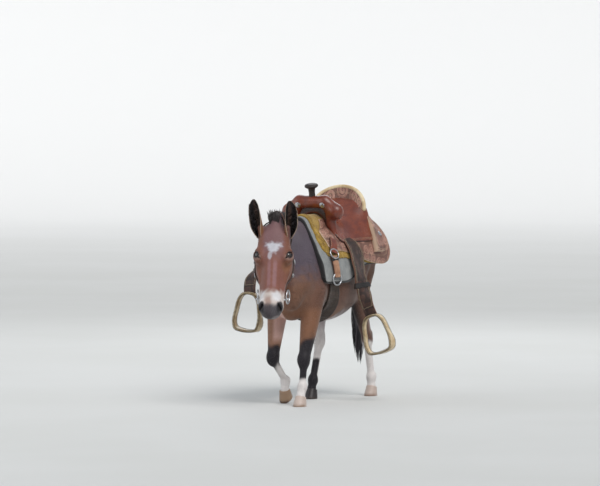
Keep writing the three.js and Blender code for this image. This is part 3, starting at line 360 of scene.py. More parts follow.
def face_details(q, d):
    """Lids, nostrils and mouth carved in the head's depth d at head coordinates q."""
    for s in (1, -1):
        near = np.abs(q - eye_centre[s]).max(1) < 60
        if near.any():
            along, across, out = eye_frame(q[near], s)
            mound = np.sqrt((along / 30) ** 2 + (across / 26) ** 2 + (out / 15.5) ** 2)
            lids = blend(d[near], (mound - 1) * 15.5, 12.0)
            lids = blend(lids, np.sqrt(along**2 + across**2 + out**2) - (EYE_RADIUS + 2.6), 6.0)
            half = np.where(across < 0, 9.2, 7.4) * np.sqrt(np.clip(1 - (along / 14.5) ** 2, 0, 1))
            slot = np.maximum(np.abs(across) - half, 2 - out)
            lids = carve(lids, slot, 1.6)
            fold = np.abs(np.sqrt((along / 21) ** 2 + ((across + 0.5) / 15.5) ** 2) - 1) * 15 - 0.7
            fold = np.maximum(fold, -(lids + 1.7)) + 6 * ramp(across, 1, 9)
            d[near] = carve(lids, fold, 2.0)
    for s in (1, -1):
        near = (np.abs(q[:, 1] - 374) < 50) & (q[:, 0] * s > 0)
        if near.any():
            x, y, z = (q[near] - nostril_centre[s]).T
            wide, long = rotate(x * s, y, NOSTRIL_SLANT)
            hollow = np.sqrt((wide / 6.5) ** 2 + (long / 13.5) ** 2 + (z / 15) ** 2)
            d[near] = carve(d[near], (hollow - 1) * 7.0, 4.5)
    near = (q[:, 1] > 296) & (np.abs(q[:, 2] + 88) < 30)
    if near.any():
        line = np.abs(above_mouth(q[near])) - 1.1
        groove = np.maximum(np.maximum(line, 308 - q[near, 1]), -(d[near] + 5.5))
        d[near] = carve(d[near], groove, 3.2)
    return d


ear_root = {s: on_head(s * 48, 34, -58) for s in (1, -1)}
ear_tip = {
    1: on_head(50, 20, -40) + np.array([18, -14, 128]),
    -1: on_head(-50, 20, -40) + np.array([-34, -12, 134]),
}
ear_feet = {
    s: bar(on_head(s * 48, 34, -56), mix(on_head(s * 51, 26, -44), ear_tip[s], 0.16), 21, 16) for s in (1, -1)
}


def head_weight(p):
    """1 on the head and 0 behind the jaw."""
    q = head_place(p)
    return ramp(q[:, 1] + 0.55 * (q[:, 2] + 66), -25, 45) * ramp(-p[:, 1], 215, 262)


def coat_depth(p):
    """How deep the fur lies on the hide: thick on the body, thin on the face and the lower legs."""
    body = ramp(p[:, 2], 330, 430)
    thin = np.maximum(head_weight(p), 1 - body)
    return mix(4.2, 1.8, thin)


def skin_form(p):
    p = np.asarray(p, float)
    d = blend(torso_form(p), neck_form(p), 40)
    for name, form in leg_forms.items():
        d = blend(d, form(p), 16)
    near = p[:, 1] < -150
    if near.any():
        q = head_place(p[near])
        h = skull_form(q)
        for s in (1, -1):
            h = blend(h, ear_feet[s](p[near]), 12)
        h = face_details(q, h)
        d[near] = blend(d[near], h, 13)
    return d + coat_depth(p)

# %% [markdown]
# ## From depths to a mesh
# A grid is laid through space. Each cell that the surface crosses gets one point, and each crossed edge
# of the grid one quad between the four cells round it. This way is called surface nets. It gives even
# quads, which metaballs or a voxel remesh would too, but here each point can then be moved onto the exact
# surface, and the head can be split finer than the barrel.

# %% Surface nets
def crossings(depth, low, high, cell, block=4):
    """Depths on a fine grid. Only blocks that a coarse grid finds near the surface are worked out in full."""
    low, high = np.array(low, float), np.array(high, float)
    count = np.ceil((high - low) / (cell * block)).astype(int) + 1
    axes = [low[i] + np.arange(count[i]) * cell * block for i in range(3)]
    coarse = depth(np.stack(np.meshgrid(*axes, indexing="ij"), -1).reshape(-1, 3)).reshape(count)
    near = np.abs(coarse) < cell * block * 2.0
    for axis in range(3):
        grown = near.copy()
        grown[(slice(None),) * axis + (slice(1, None),)] |= near[(slice(None),) * axis + (slice(None, -1),)]
        grown[(slice(None),) * axis + (slice(None, -1),)] |= near[(slice(None),) * axis + (slice(1, None),)]
        near = grown
    value, wanted = coarse, near
    for axis in range(3):
        value, wanted = np.repeat(value, block, axis), np.repeat(wanted, block, axis)
    value = value.copy()
    index = np.argwhere(wanted)
    value[wanted] = depth(low + index * cell)
    return low, value


def surface_nets(depth, low, high, cell):
    """Points and quads of the surface where a depth is 0, between two corners of space."""
    low, value = crossings(depth, low, high, cell)
    inside = value < 0
    size = np.array(value.shape) - 1
    corner = [(i, j, k) for i in (0, 1) for j in (0, 1) for k in (0, 1)]

    def at(array, c):
        return array[tuple(slice(o, o + n) for o, n in zip(c, size))]

    total = sum(at(inside, c).astype(np.int8) for c in corner)
    cells = np.argwhere((total > 0) & (total < 8))
    number = np.full(size, -1, int)
    number[tuple(cells.T)] = np.arange(len(cells))
    place, hits = np.zeros((len(cells), 3)), np.zeros(len(cells))
    for c in corner:
        for axis in range(3):
            if c[axis]:
                continue
            e = list(c)
            e[axis] = 1
            a = value[tuple((cells + c).T)]
            b = value[tuple((cells + e).T)]
            crossed = (a < 0) != (b < 0)
            t = a[crossed] / (a[crossed] - b[crossed])
            step = np.tile(np.array(c, float), (len(t), 1))
            step[:, axis] += t
            place[crossed] += step
            hits[crossed] += 1
    points = low + (cells + place / hits[:, None]) * cell
    quads = []
    for axis in range(3):
        u, v = [a for a in range(3) if a != axis]
        lead = [slice(None)] * 3
        tail = [slice(None)] * 3
        lead[axis], tail[axis] = slice(0, -1), slice(1, None)
        a, b = inside[tuple(lead)], inside[tuple(tail)]
        edges = np.argwhere(a != b)
        across = edges[:, [u, v]]
        edges = edges[((across > 0) & (across < size[[u, v]])).all(1)]
        du, dv = np.eye(3, dtype=int)[u], np.eye(3, dtype=int)[v]
        ring = [edges - du - dv, edges - dv, edges, edges - du]
        quad = np.stack([number[tuple(r.T)] for r in ring], 1)
        flip = a[tuple(edges.T)] == (axis == 1)
        quad[flip] = quad[flip][:, ::-1]
        quads.append(quad)
    quads = np.concatenate(quads)
    return points, quads[(quads >= 0).all(1)]


def slope(depth, p, e=0.6):
    """How fast a depth grows along each axis, from four corners of a small cube."""
    corners = np.array([[1, -1, -1], [-1, -1, 1], [-1, 1, -1], [1, 1, 1]], float)
    g = sum(c * depth(p + c * e)[:, None] for c in corners)
    return g / (4 * e)


def settle(depth, p, level=0.0, times=3, most=3.0):
    """Moves points onto the surface, or to a level above it."""
    for _ in range(times):
        g = slope(depth, p)
        step = (level - depth(p)) / np.maximum((g * g).sum(1), 0.2)
        p = p + g * np.clip(step, -most, most)[:, None]
    return p


def mesh_object(name, points, faces):
    mesh = bpy.data.meshes.new(name)
    mesh.from_pydata(to_row(points).tolist(), [], [list(map(int, f)) for f in faces])
    mesh.validate()
    mesh.update()
    mesh.polygons.foreach_set("use_smooth", [True] * len(mesh.polygons))
    return new_object(name, mesh)


def split_near(points, quads, wanted):
    """Splits the quads whose corners are all wanted in four, and fits the ones beside them."""
    shape = bmesh.new()
    corners = [shape.verts.new(p) for p in points]
    shape.verts.index_update()
    for quad in quads:
        shape.faces.new([corners[i] for i in quad])
    edges = [e for e in shape.edges if wanted[e.verts[0].index] and wanted[e.verts[1].index]]
    bmesh.ops.subdivide_edges(shape, edges=edges, cuts=1, use_grid_fill=True)
    shape.verts.index_update()
    new_points = np.array([v.co[:] for v in shape.verts])
    faces = [[v.index for v in f.verts] for f in shape.faces]
    shape.free()
    return new_points, faces

# %% Skin mesh
SKIN_CELL = 5.7


def face_region(p):
    return head_weight(p) > 0.02


def near_features(p):
    q = head_place(p)
    near = np.zeros(len(p), bool)
    for s in (1, -1):
        near |= np.linalg.norm(q - eye_centre[s], axis=1) < 27
        near |= np.linalg.norm((q - nostril_centre[s]) / (1, 1.2, 1.2), axis=1) < 22
    near |= (np.abs(q[:, 2] + 87) < 8) & (q[:, 1] > 298)
    return near & face_region(p)


points, quads = surface_nets(skin_form, (-190, -560, -10), (190, 640, 880), SKIN_CELL)
points = settle(skin_form, points)
print("skin", len(points), "points", len(quads), "quads")
points, quads = split_near(points, quads, face_region(points))
points = settle(skin_form, points)
points, quads = split_near(points, quads, near_features(points))
points = settle(skin_form, points, times=4)
print("skin after splitting", len(points), "points", len(quads), "faces")

# %% [markdown]
# ## Ears
# A mule's ear is a long cupped blade that grows out of a tube. Rows run up its ridge. Each row is an arc
# whose width and wrap come from two short lists, so the tube at the foot opens into a blade towards the
# tip. The foot stands in a cuff of skin that the field of depths already has, and so it needs no seam.

# %% Ears
# Width, and how many degrees it wraps round, from the foot to the tip
EAR_WIDE = [34, 44, 52, 57, 58, 56, 48, 18]
EAR_WRAP = [300, 270, 225, 185, 155, 132, 112, 90]
EAR_ROWS, EAR_COLUMNS = 44, 30


def unit(v):
    v = np.asarray(v, float)
    return v / np.maximum(np.linalg.norm(v, axis=-1, keepdims=True), 1e-12)


def ear_face(s, inset):
    """Points of one face of an ear, inset from its outside by a share of its thickness."""
    root, tip = ear_root[s], ear_tip[s]
    bend = mix(on_head(s * 55, 18, -42), tip, 0.4) + np.array([s * 5, 6, 0])
    facing = HEAD_TURN + s * math.radians(30)
    front = unit([math.sin(facing), -math.cos(facing), 0.1])
    row, v = np.meshgrid(np.linspace(0, 1, EAR_ROWS + 1), np.linspace(0, 1, EAR_COLUMNS + 1), indexing="ij")
    u = 1 - (1 - row) ** 1.35
    ridge = (1 - u)[..., None] ** 2 * root + (2 * u * (1 - u))[..., None] * bend + u[..., None] ** 2 * tip
    up = unit((2 - 2 * u)[..., None] * (bend - root) + (2 * u)[..., None] * (tip - bend))
    side = unit(np.cross(front, up))
    out = unit(np.cross(up, side))
    stations = np.linspace(0, 1, len(EAR_WIDE))
    wrap = np.radians(np.interp(u, stations, EAR_WRAP)) / 2
    wide = np.interp(u, stations, EAR_WIDE) * np.sqrt(1 - 0.75 * ramp(u, 0.93, 1.02) ** 2)
    radius = wide / 2 / np.sin(np.minimum(wrap, np.pi / 2))
    a = mix(-wrap, wrap, v)
    thick = inset * mix(5, 2.2, u) * (1 - 0.5 * np.abs(2 * v - 1) ** 3)
    p = ridge + out * (radius - (radius - thick) * np.cos(a))[..., None]
    return p + side * ((radius - thick) * np.sin(a))[..., None]


def closed_sheet(outer, inner):
    """Points and quads of a sheet between two grids of points."""
    rows, columns = outer.shape[0] - 1, outer.shape[1] - 1
    width, back = columns + 1, (rows + 1) * (columns + 1)
    i, j = np.meshgrid(np.arange(rows), np.arange(columns), indexing="ij")
    a = (i * width + j).ravel()
    front = np.stack([a, a + 1, a + width + 1, a + width], 1)
    rear = back + front[:, ::-1]
    i = np.arange(rows) * width
    left = np.stack([i, i + width, back + i + width, back + i], 1)
    k = i + columns
    right = np.stack([k + width, k, back + k, back + k + width], 1)
    j = np.arange(columns)
    top = np.stack([j + 1, j, back + j, back + j + 1], 1)
    k = rows * width + j
    low = np.stack([k, k + 1, back + k + 1, back + k], 1)
    points = np.concatenate([outer.reshape(-1, 3), inner.reshape(-1, 3)])
    return points, np.concatenate([front, rear, left, right, top, low])


def grid_faces(rows, around, closed=False):
    """Quads of a tube of rings, or of a closed loop of them."""
    r, k = np.meshgrid(np.arange(rows if closed else rows - 1), np.arange(around), indexing="ij")
    a, b = r * around + k, r * around + (k + 1) % around
    c, d = (a + around) % (rows * around), (b + around) % (rows * around)
    return np.stack([a, b, d, c], -1).reshape(-1, 4).tolist()


def capped_faces(rows, around):
    """The same with a fan at either end, round two more points that follow those of the rings."""
    first, last = rows * around, (rows - 1) * around
    faces = grid_faces(rows, around)
    faces += [[first, (k + 1) % around, k] for k in range(around)]
    return faces + [[first + 1, last + k, last + (k + 1) % around] for k in range(around)]


def face_out(obj):
    """Turns all faces of a closed mesh outwards."""
    shape = bmesh.new()
    shape.from_mesh(obj.data)
    bmesh.ops.recalc_face_normals(shape, faces=shape.faces)
    shape.to_mesh(obj.data)
    shape.free()
    return obj


skin_points, skin_faces = [points], list(quads)
ear_start = len(points)
for s in (1, -1):
    blade, faces = closed_sheet(ear_face(s, 0.12), ear_face(s, 0.85))
    offset = sum(len(p) for p in skin_points)
    skin_points.append(blade)
    skin_faces += (faces + offset).tolist()
skin = mesh_object("skin", np.concatenate(skin_points), skin_faces)
face_out(skin)
print("skin triangles", sum(len(p.vertices) - 2 for p in skin.data.polygons))

# %% [markdown]
# ## Markings
# One function of place gives the colour of the coat, and both the hide and the hair on it take their
# colour from it. It starts from the brown of the barrel and lays the other colours over it one by one:
# the greyer neck, the mealy muzzle, the star, the rings round the eyes, the black knees and the white
# stockings. Some layers are painted light and shade: painted shade under the belly, in the nostrils and
# in the groove between the lips, and a painted highlight along the ridge of the nose.

# %% Markings
def tone(r, g, b):
    """A colour as a screen shows it, from 0 to 255, to the linear light that a material wants."""
    c = np.array([r, g, b], float) / 255
    return np.where(c <= 0.04045, c / 12.92, ((c + 0.055) / 1.055) ** 2.4)


BAY, RED_BAY, GREY_BROWN, BELLY_SHADE = tone(104, 72, 58), tone(124, 78, 66), tone(92, 78, 84), tone(40, 33, 34)
MEALY, WHITE, BLACK, NOSE = tone(196, 184, 178), tone(214, 208, 206), tone(30, 26, 32), tone(52, 50, 58)
PINK, STAR = tone(196, 160, 150), tone(190, 190, 198)


def lay(under, colour, mask):
    """One colour over another, as far as the mask of 0 to 1 lets it."""
    return under + (colour - under) * np.clip(mask, 0, 1)[:, None]


def ball_mask(p, centre, radius, soft):
    return 1 - ramp(np.linalg.norm(p - np.array(centre, float), axis=1), radius - soft / 2, radius + soft / 2)


def waver(p, size, amount):
    """A smooth wobble that keeps the edge of a marking from being a straight cut."""
    x, y, z = (p / size).T
    waves = np.sin(x * 2.1 + 1.3 * np.sin(y * 1.7)) + np.sin(y * 2.3 + z * 1.9) + np.sin(z * 2.7 - x * 1.1)
    return amount * waves / 3


def leg_axis(name, z):
    """Middle of a leg at each height."""
    line = np.array(JOINTS[name][-4 if "front" in name else -3:])
    line = line[np.argsort(line[:, 2])]
    return np.stack([np.interp(z, line[:, 2], line[:, k]) for k in (0, 1)], 1)


def nearest_leg(p):
    away = np.stack([np.linalg.norm(p[:, :2] - leg_axis(n, p[:, 2]), axis=1) for n in JOINTS], 1)
    return np.array(list(JOINTS))[away.argmin(1)]


def body_markings(p):
    x, y, z = p.T
    wob = waver(p, 17, 1.0)
    c = np.tile(BAY, (len(p), 1))
    c = lay(c, GREY_BROWN, ramp(y, 170, 30) * ramp(z + wob * 20, 470, 620))
    c = lay(c, tone(84, 76, 88), ramp(y, 60, -40) * ramp(z + wob * 26, 520, 610) * ramp(x, 10, 60) * 0.7)
    c = lay(c, tone(118, 84, 66), ramp(y, -40, -120) * ramp(z + wob * 20, 560, 480))
    # painted shade: a dark band low on the barrel, under the belly from the girth back
    c = lay(c, BELLY_SHADE, ramp(z + wob * 8, 452, 400) * ramp(y, 20, 90) * ramp(np.abs(x), 118, 70))
    c = lay(c, tone(150, 140, 134), ramp(z, 372, 344) * ramp(y, 70, 140) * ramp(y, 330, 250) * 0.8)
    return lay(c, tone(116, 84, 68), ramp(y, 420, 520) * ramp(z, 640, 500) * 0.7)


def leg_markings(c, p):
    """Lays the colours of the legs over c. Each height is where a colour starts and where it is full."""
    x, y, z = p.T
    wob = waver(p, 17, 1.0)
    leg = nearest_leg(p)
    axis = np.zeros((len(p), 2))
    for name in JOINTS:
        axis[leg == name] = leg_axis(name, z[leg == name])
    inside = -(x - axis[:, 0]) * np.sign(axis[:, 0])
    shin = ramp(y - axis[:, 1] - inside * 0.3, 5, -5)
    layers = {
        "front_left": (
            (tone(122, 84, 62), 1),
            (BLACK, ramp(z + wob * 14 + inside * 0.6, 290, 250)),
            (WHITE, ramp(z + wob * 7, 120, 104)),
        ),
        "front_right": (
            (tone(142, 104, 84), 1),
            (PINK, ramp(inside, 0, 16) * ramp(z, 250, 290)),
            (BLACK, ramp(z + wob * 10, 262, 232)),
            (WHITE, ramp(z + wob * 9 - inside * 0.9, 158, 138)),
        ),
        "hind_left": (
            (tone(92, 66, 56), ramp(z, 330, 260)),
            (WHITE, ramp(z + wob * 9, 250, 220)),
        ),
        "hind_right": (
            (tone(178, 166, 168), ramp(z + wob * 14, 400, 340)),
            (WHITE, ramp(z + wob * 9, 330, 270)),
            (BLACK, ramp(z + wob * 8, 176, 158) * shin),
            (BLACK, ramp(z + wob * 4, 84, 70)),
        ),
    }
    for name in JOINTS:
        on = (leg == name) * ramp(z, 430, 380)
        for colour, mask in layers[name]:
            c = lay(c, colour, on * mask)
    return c


def face_markings(q):
    """Colours at head coordinates: x across, y down the face, z out of it."""
    x, y, z = q.T
    wave = waver(q, 9, 1.0)
    side = np.abs(x)
    face = np.tile(RED_BAY, (len(q), 1))
    face = lay(face, tone(116, 88, 92), ramp(y + wave * 10, 190, 90) * ramp(side + wave * 6, 60, 30) * 0.8)
    # painted highlight: lighter purple-grey streaks down either side of the nose ridge
    ridge = ramp(np.abs(side - 12 + wave * 2), 11, 3) * ramp(y, 150, 190) * ramp(y, 300, 270)
    face = lay(face, tone(146, 112, 118), ridge * 0.5)
    face = lay(face, tone(112, 70, 50), ramp(side, 34, 58) * ramp(y, 280, 230) * 0.6)
    face = lay(face, tone(126, 84, 58), ball_mask(q, (56, 176, -50), 26, 22) * 0.7)
    face = lay(face, MEALY, ramp(y + wave * 7 - 0.3 * (z + 40), 282, 318))
    for place, size in (((-46, 345, -48), 24), ((24, 326, -28), 22), ((-40, 312, -40), 14)):
        face = lay(face, tone(212, 212, 216), ball_mask(q, place, size + wave * 4, 22) * 0.8)
    streak = ramp(np.abs(x + 10 + wave * 3), 20, 5) * ramp(y, 316, 342)
    face = lay(face, tone(152, 120, 108), streak * 0.75)
    star = np.maximum(np.abs(x - 2) / mix(34, 12, ramp(y, 96, 142)), np.abs(y - 112) / 25)
    star = ramp(star + wave * 0.2 + waver(q, 5, 0.16), 1.3, 0.5)
    strip = ramp(np.hypot((x + 12) / 9, (y - 146) / 20) + wave * 0.2, 1.1, 0.7) * 0.6
    face = lay(face, STAR, np.maximum(star * 0.92, strip))
    face = lay(face, NOSE, ramp(y + wave * 5 - 0.1 * side + 0.1 * (z + 60), 354, 380) * 0.92)
    chin = ball_mask(q, (20, 402, -70), 17, 14) * 0.8 + ball_mask(q, (-46, 374, -66), 14, 10) * 0.8
    face = lay(face, tone(150, 142, 142), chin)
    for s in (1, -1):
        # painted shade in the nostril hollows, over the dark skin of the muzzle
        nostril = np.linalg.norm((q - nostril_centre[s] + (0, 5, 0)) / (1, 1.5, 1.3), axis=1)
        face = lay(face, NOSE * 0.45, ramp(nostril + wave * 2, 18, 12) * 0.95)
        along, across, out = eye_frame(q, s)
        ring = np.sqrt((along / 1.35) ** 2 + across**2 + np.minimum(out, 0) ** 2)
        seen = out > -12
        below = ramp(across + along * 0.6, -8, 8)
        face = lay(face, tone(160, 136, 126), ramp(ring, 25, 17) * below * 0.45 * seen)
        face = lay(face, tone(74, 56, 56), ramp(ring, 17, 12.5) * 0.9 * seen)
        face = lay(face, BLACK, ramp(ring, 12.5, 10.5) * seen)
    # painted shade in the groove between the lips, a little darker than the skin of the muzzle
    lips = ramp(np.abs(above_mouth(q)), 3.4, 1.6) * ramp(y, 304, 310)
    return lay(face, NOSE * 0.8, lips * 0.8)


def markings(p):
    p = np.asarray(p, float)
    c = leg_markings(body_markings(p), p)
    return c + (face_markings(head_place(p)) - c) * head_weight(p)[:, None]


def ear_colours(inside, up_share, edge):
    """Golden brown outside, dark inside with a browner middle, and a thin pale rim."""
    c = tone(128, 86, 58) * mix(1.0, 0.8, ramp(up_share, 0, 0.5))[:, None]
    c = lay(c, tone(70, 48, 40), ramp(up_share, 0.7, 0.98))
    c = lay(c, tone(34, 27, 30), inside)
    c = lay(c, tone(84, 62, 52), inside * ramp(edge, 0.4, 0.05) * 0.8)
    return lay(c, tone(182, 158, 138), ramp(edge, 0.9, 0.99) * 0.85)


def keep_value(obj, name, values):
    """Keeps a number for every point, which a material or a node tree can read by its name."""
    layer = obj.data.attributes.new(name, "FLOAT", "POINT")
    layer.data.foreach_set("value", np.asarray(values, np.float32))


def paint(obj, colours):
    layer = obj.data.color_attributes.new("marking", "FLOAT_COLOR", "POINT")
    flat = np.ones((len(colours), 4), np.float32)
    flat[:, :3] = colours
    layer.data.foreach_set("color", flat.ravel())


all_points = np.concatenate(skin_points)
colours = markings(all_points)
per_ear = (len(all_points) - ear_start) // 2
rows, columns = np.meshgrid(
    np.linspace(0, 1, EAR_ROWS + 1), np.linspace(-1, 1, EAR_COLUMNS + 1), indexing="ij"
)
share, edge = np.tile(rows.ravel(), 2), np.tile(np.abs(columns).ravel(), 2)
inside = np.repeat([0.0, 1.0], rows.size)
colours[ear_start:] = np.tile(ear_colours(inside, share, edge), (2, 1))
paint(skin, colours)
falls = np.maximum(ramp(all_points[:, 2], 480, 400), head_weight(all_points))
keep_value(skin, "drop", falls)
print("marked points", len(all_points))

# %% [markdown]
# ## Hair as mesh
# Each tuft is a thin three-sided blade with one bend, sunk a little into the hide and leaning the way the
# coat lies. Particle hair would be quicker to make, but a plain mesh goes everywhere. All tufts are made
# at once as arrays of points. Each carries its colour, and a small patch in a UV map at the place of its
# root.

# %% Tufts
PATCH = 0.003


def array_mesh(name, points, triangles, colours, patches, shading=None):
    """A mesh straight from arrays, with its colours and the places of its points on the map."""
    mesh = bpy.data.meshes.new(name)
    mesh.vertices.add(len(points))
    mesh.vertices.foreach_set("co", to_row(points).astype(np.float32).ravel())
    mesh.loops.add(triangles.size)
    mesh.loops.foreach_set("vertex_index", triangles.astype(np.int32).ravel())
    mesh.polygons.add(len(triangles))
    mesh.polygons.foreach_set("loop_start", np.arange(0, triangles.size, 3, dtype=np.int32))
    mesh.polygons.foreach_set("use_smooth", np.ones(len(triangles), bool))
    layer = mesh.uv_layers.new(name="OFBake")
    layer.data.foreach_set("uv", patches[triangles.ravel()].astype(np.float32).ravel())
    mesh.update()
    mesh.validate()
    if shading is not None:
        mesh.normals_split_custom_set_from_vertices(shading.astype(np.float32))
    made = new_object(name, mesh)
    paint(made, colours)
    return made


def unwrap(p):
    """Place of a point on an unrolled hide: the barrel and neck above, the head and the legs below."""
    p = np.asarray(p, float)
    x, y, z = p.T
    axis = np.interp(y, [-260, -20, 600], [690, 600, 560])
    turn = np.arctan2(x, z - axis) / (2 * np.pi) + 0.5
    uv = np.stack([0.01 + 0.98 * turn, 0.52 + 0.47 * (y + 320) / 980], 1)
    on_leg = z < 420
    names = nearest_leg(p)
    for k, name in enumerate(JOINTS):
        mine = on_leg & (names == name)
        mid = leg_axis(name, z[mine])
        turn = np.arctan2(x[mine] - mid[:, 0], y[mine] - mid[:, 1]) / (2 * np.pi) + 0.5
        uv[mine] = np.stack([0.4 + 0.15 * k + 0.14 * turn, 0.01 + 0.48 * z[mine] / 420], 1)
    head = head_weight(p) > 0.5
    q = head_place(p[head])
    turn = np.arctan2(q[:, 0], q[:, 2] + 76) / (2 * np.pi) + 0.5
    uv[head] = np.stack([0.01 + 0.37 * turn, 0.01 + 0.48 * np.clip((q[:, 1] + 60) / 480, 0, 1)], 1)
    return uv


def tuft_mesh(name, roots, normals, lie, length, width, lift, colours, sink=0.8, flat=0.55, curl=0.55):
    """lift is the angle at which each tuft leaves the hide, and curl how much of it is gone at its tip.

    A tuft takes its shading from the hide under it, so that short fur shows as a smooth, even coat.
    """
    n = len(roots)
    lie = unit(lie - (lie * normals).sum(1)[:, None] * normals)
    side = unit(np.cross(normals, lie))
    length, width, lift = (np.broadcast_to(v, n)[:, None] for v in (length, width, lift))
    first = lie * np.cos(lift) + normals * np.sin(lift)
    last = lie * np.cos(lift * (1 - curl)) + normals * np.sin(lift * (1 - curl))
    base = roots - normals * sink
    middle = base + first * (length * 0.5)
    tip = middle + last * (length * 0.5)
    across = np.cross(side, first)
    ring = []
    for centre, size in ((base, 1.0), (middle, 0.8)):
        ring += [
            centre + side * width * 0.5 * size,
            centre - side * width * 0.5 * size,
            centre - across * width * flat * size,
        ]
    points = np.stack([*ring, tip], 1).reshape(-1, 3)
    shape = np.array([
        [0, 2, 1],
        [0, 1, 4], [0, 4, 3], [1, 2, 5], [1, 5, 4], [2, 0, 3], [2, 3, 5],
        [3, 4, 6], [4, 5, 6], [5, 3, 6],
    ])
    triangles = (shape[None] + 7 * np.arange(n)[:, None, None]).reshape(-1, 3)
    small = np.array([[0, 0], [1, 0], [0.5, 0.3], [0.1, 0.6], [0.9, 0.6], [0.5, 0.7], [0.5, 1]]) * PATCH
    patches = (unwrap(roots)[:, None] + small[None]).reshape(-1, 2)
    shading = unit(np.repeat(normals + 0.12 * lie, 7, 0))
    return array_mesh(name, points, triangles, np.repeat(colours, 7, 0), patches, shading)

# %% Where tufts grow
def read_all(items, what, kind=float):
    """One triple of numbers for each item of a mesh."""
    values = np.zeros(len(items) * 3, kind)
    items.foreach_get(what, values)
    return values.reshape(-1, 3)


def scatter(obj, count, density):
    """Random points on a mesh, with their normals, spread evenly apart from density."""
    mesh = obj.data
    mesh.calc_loop_triangles()
    corners = read_all(mesh.loop_triangles, "vertices", int)
    co = read_all(mesh.vertices, "co") * 1000 + CENTRE
    normal = read_all(mesh.vertices, "normal")
    a, b, c = (co[corners[:, k]] for k in range(3))
    area = np.linalg.norm(np.cross(b - a, c - a), axis=1) / 2
    weight = area * density((a + b + c) / 3, corners)
    pick = rng.choice(len(corners), count, p=weight / weight.sum())
    r = rng.random((count, 2))
    r = np.where((r.sum(1) > 1)[:, None], 1 - r, r)
    weights = np.stack([1 - r.sum(1), r[:, 0], r[:, 1]], 1)[..., None]
    place = (co[corners[pick]] * weights).sum(1)
    return place, unit((normal[corners[pick]] * weights).sum(1)), corners[pick]


def lie_of(p):
    """The way the hair lies: back over the barrel, down the legs and down the face."""
    x, y, z = p.T
    lie = np.stack([0 * x, 1 + 0 * y, -0.25 - 0.5 * ramp(y, 0, -200)], 1)
    lie = mix(lie, np.array([0, 0.12, -1.0]), ramp(z, 470, 380)[:, None])
    down_face = HEAD @ np.array([0, 1.0, 0])
    return mix(lie, down_face, head_weight(p)[:, None])


def gathered(meshes):
    """Points and faces of several meshes in one list each."""
    points, faces = [], []
    for mesh in meshes:
        start = len(points)
        points += [v.co[:] for v in mesh.vertices]
        faces += [[start + i for i in f.vertices] for f in mesh.polygons]
    return points, faces


# What lies over the coat, as one tree of triangles, so that no hair grows through it
FLESH = ("torso", "neck", "head", "ear_", "leg_")
tack_tree = BVHTree.FromPolygons(*gathered(
    node.data
    for name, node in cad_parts.items()
    if not name.startswith((*FLESH, "eye_", "hoof_", "tail"))
))


def uncovered(roots, normals, reach=0.02):
    """Whether each root has no tack over it."""
    keep = np.ones(len(roots), bool)
    row = to_row(roots)
    for i in range(len(roots)):
        start, way = Vector(row[i]), Vector(normals[i])
        if tack_tree.ray_cast(start, way, reach)[0] or tack_tree.find_nearest(start + way * 0.003, 0.003)[0]:
            keep[i] = False
    return keep

# %% Coat
TUFTS = 19500


def coat_piece(name, where, long, wide, spare=1.2):
    """TUFTS tufts on part of the skin. spare is how many more roots are drawn, for those under the tack."""
    def density(p, corners):
        return where(p) * (corners.min(1) < ear_start)

    roots, normals, _ = scatter(skin, int(TUFTS * spare), density)
    keep = np.flatnonzero(uncovered(roots, normals))[:TUFTS]
    roots, normals = roots[keep], normals[keep]
    n = len(roots)
    lie = lie_of(roots) + rng.normal(0, 0.14, (n, 3))
    shade = markings(roots) * (1 + rng.normal(0, 0.05, (n, 1)))
    size = rng.uniform(0.75, 1.2, n)
    print(name, n, "tufts")
    return tuft_mesh(
        name, roots, normals, lie, long * size, wide * size,
        rng.uniform(0.03, 0.12, n), np.clip(shade, 0.002, 1), 0.3, 0.35,
    )


def body_coat(p):
    return ramp(p[:, 2], 380, 430) * (head_weight(p) < 0.3)


coats = [
    coat_piece("coat_barrel", lambda p: body_coat(p) * (p[:, 1] > 60), 8, 0.6, 2.2),
    coat_piece("coat_neck", lambda p: body_coat(p) * (p[:, 1] <= 60), 7, 0.55),
    coat_piece("coat_legs", lambda p: ramp(p[:, 2], 430, 380) * (p[:, 2] > 30), 5.5, 0.5),
    coat_piece("coat_face", lambda p: ramp(head_weight(p), 0.2, 0.5), 4, 0.45),
]

# %% Hair inside the ears
def ear_hair(p, corners):
    return (corners.min(1) >= ear_start) * (((corners - ear_start) % per_ear).min(1) >= per_ear // 2)


EAR_HAIRS = 2600
roots, normals, corners = scatter(skin, EAR_HAIRS, ear_hair)
side = np.where(corners[:, 0] >= ear_start + per_ear, -1, 1)
share = np.tile(rows.ravel(), 4)[corners[:, 0] - ear_start]
keep = share < 0.93
roots, normals, side, share = roots[keep], normals[keep], side[keep], share[keep]
n = len(roots)
grow = np.stack([unit(ear_tip[s] - ear_root[s]) for s in (1, -1)])[(side < 0).astype(int)]
fuzz_shade = lay(np.tile(tone(40, 32, 34), (n, 1)), tone(120, 94, 76), rng.random(n) ** 2)
lie = grow + 0.5 * normals + rng.normal(0, 0.2, (n, 3))
long = rng.uniform(6, 15, n) * mix(1, 0.5, share)
ear_fuzz = tuft_mesh(
    "ear_fuzz", roots, normals, lie, long, 1.3, rng.uniform(0.3, 0.8, n), fuzz_shade, curl=0.3
)
print("ear hair", n)

# %% [markdown]
# ## Mane, tuft and tail
# The mane is clipped to stand up, the tuft between the ears is short, and the tail falls nearly to the
# fetlocks. They are made like the coat but from longer locks, each swept along its own curve and twisted
# a little.

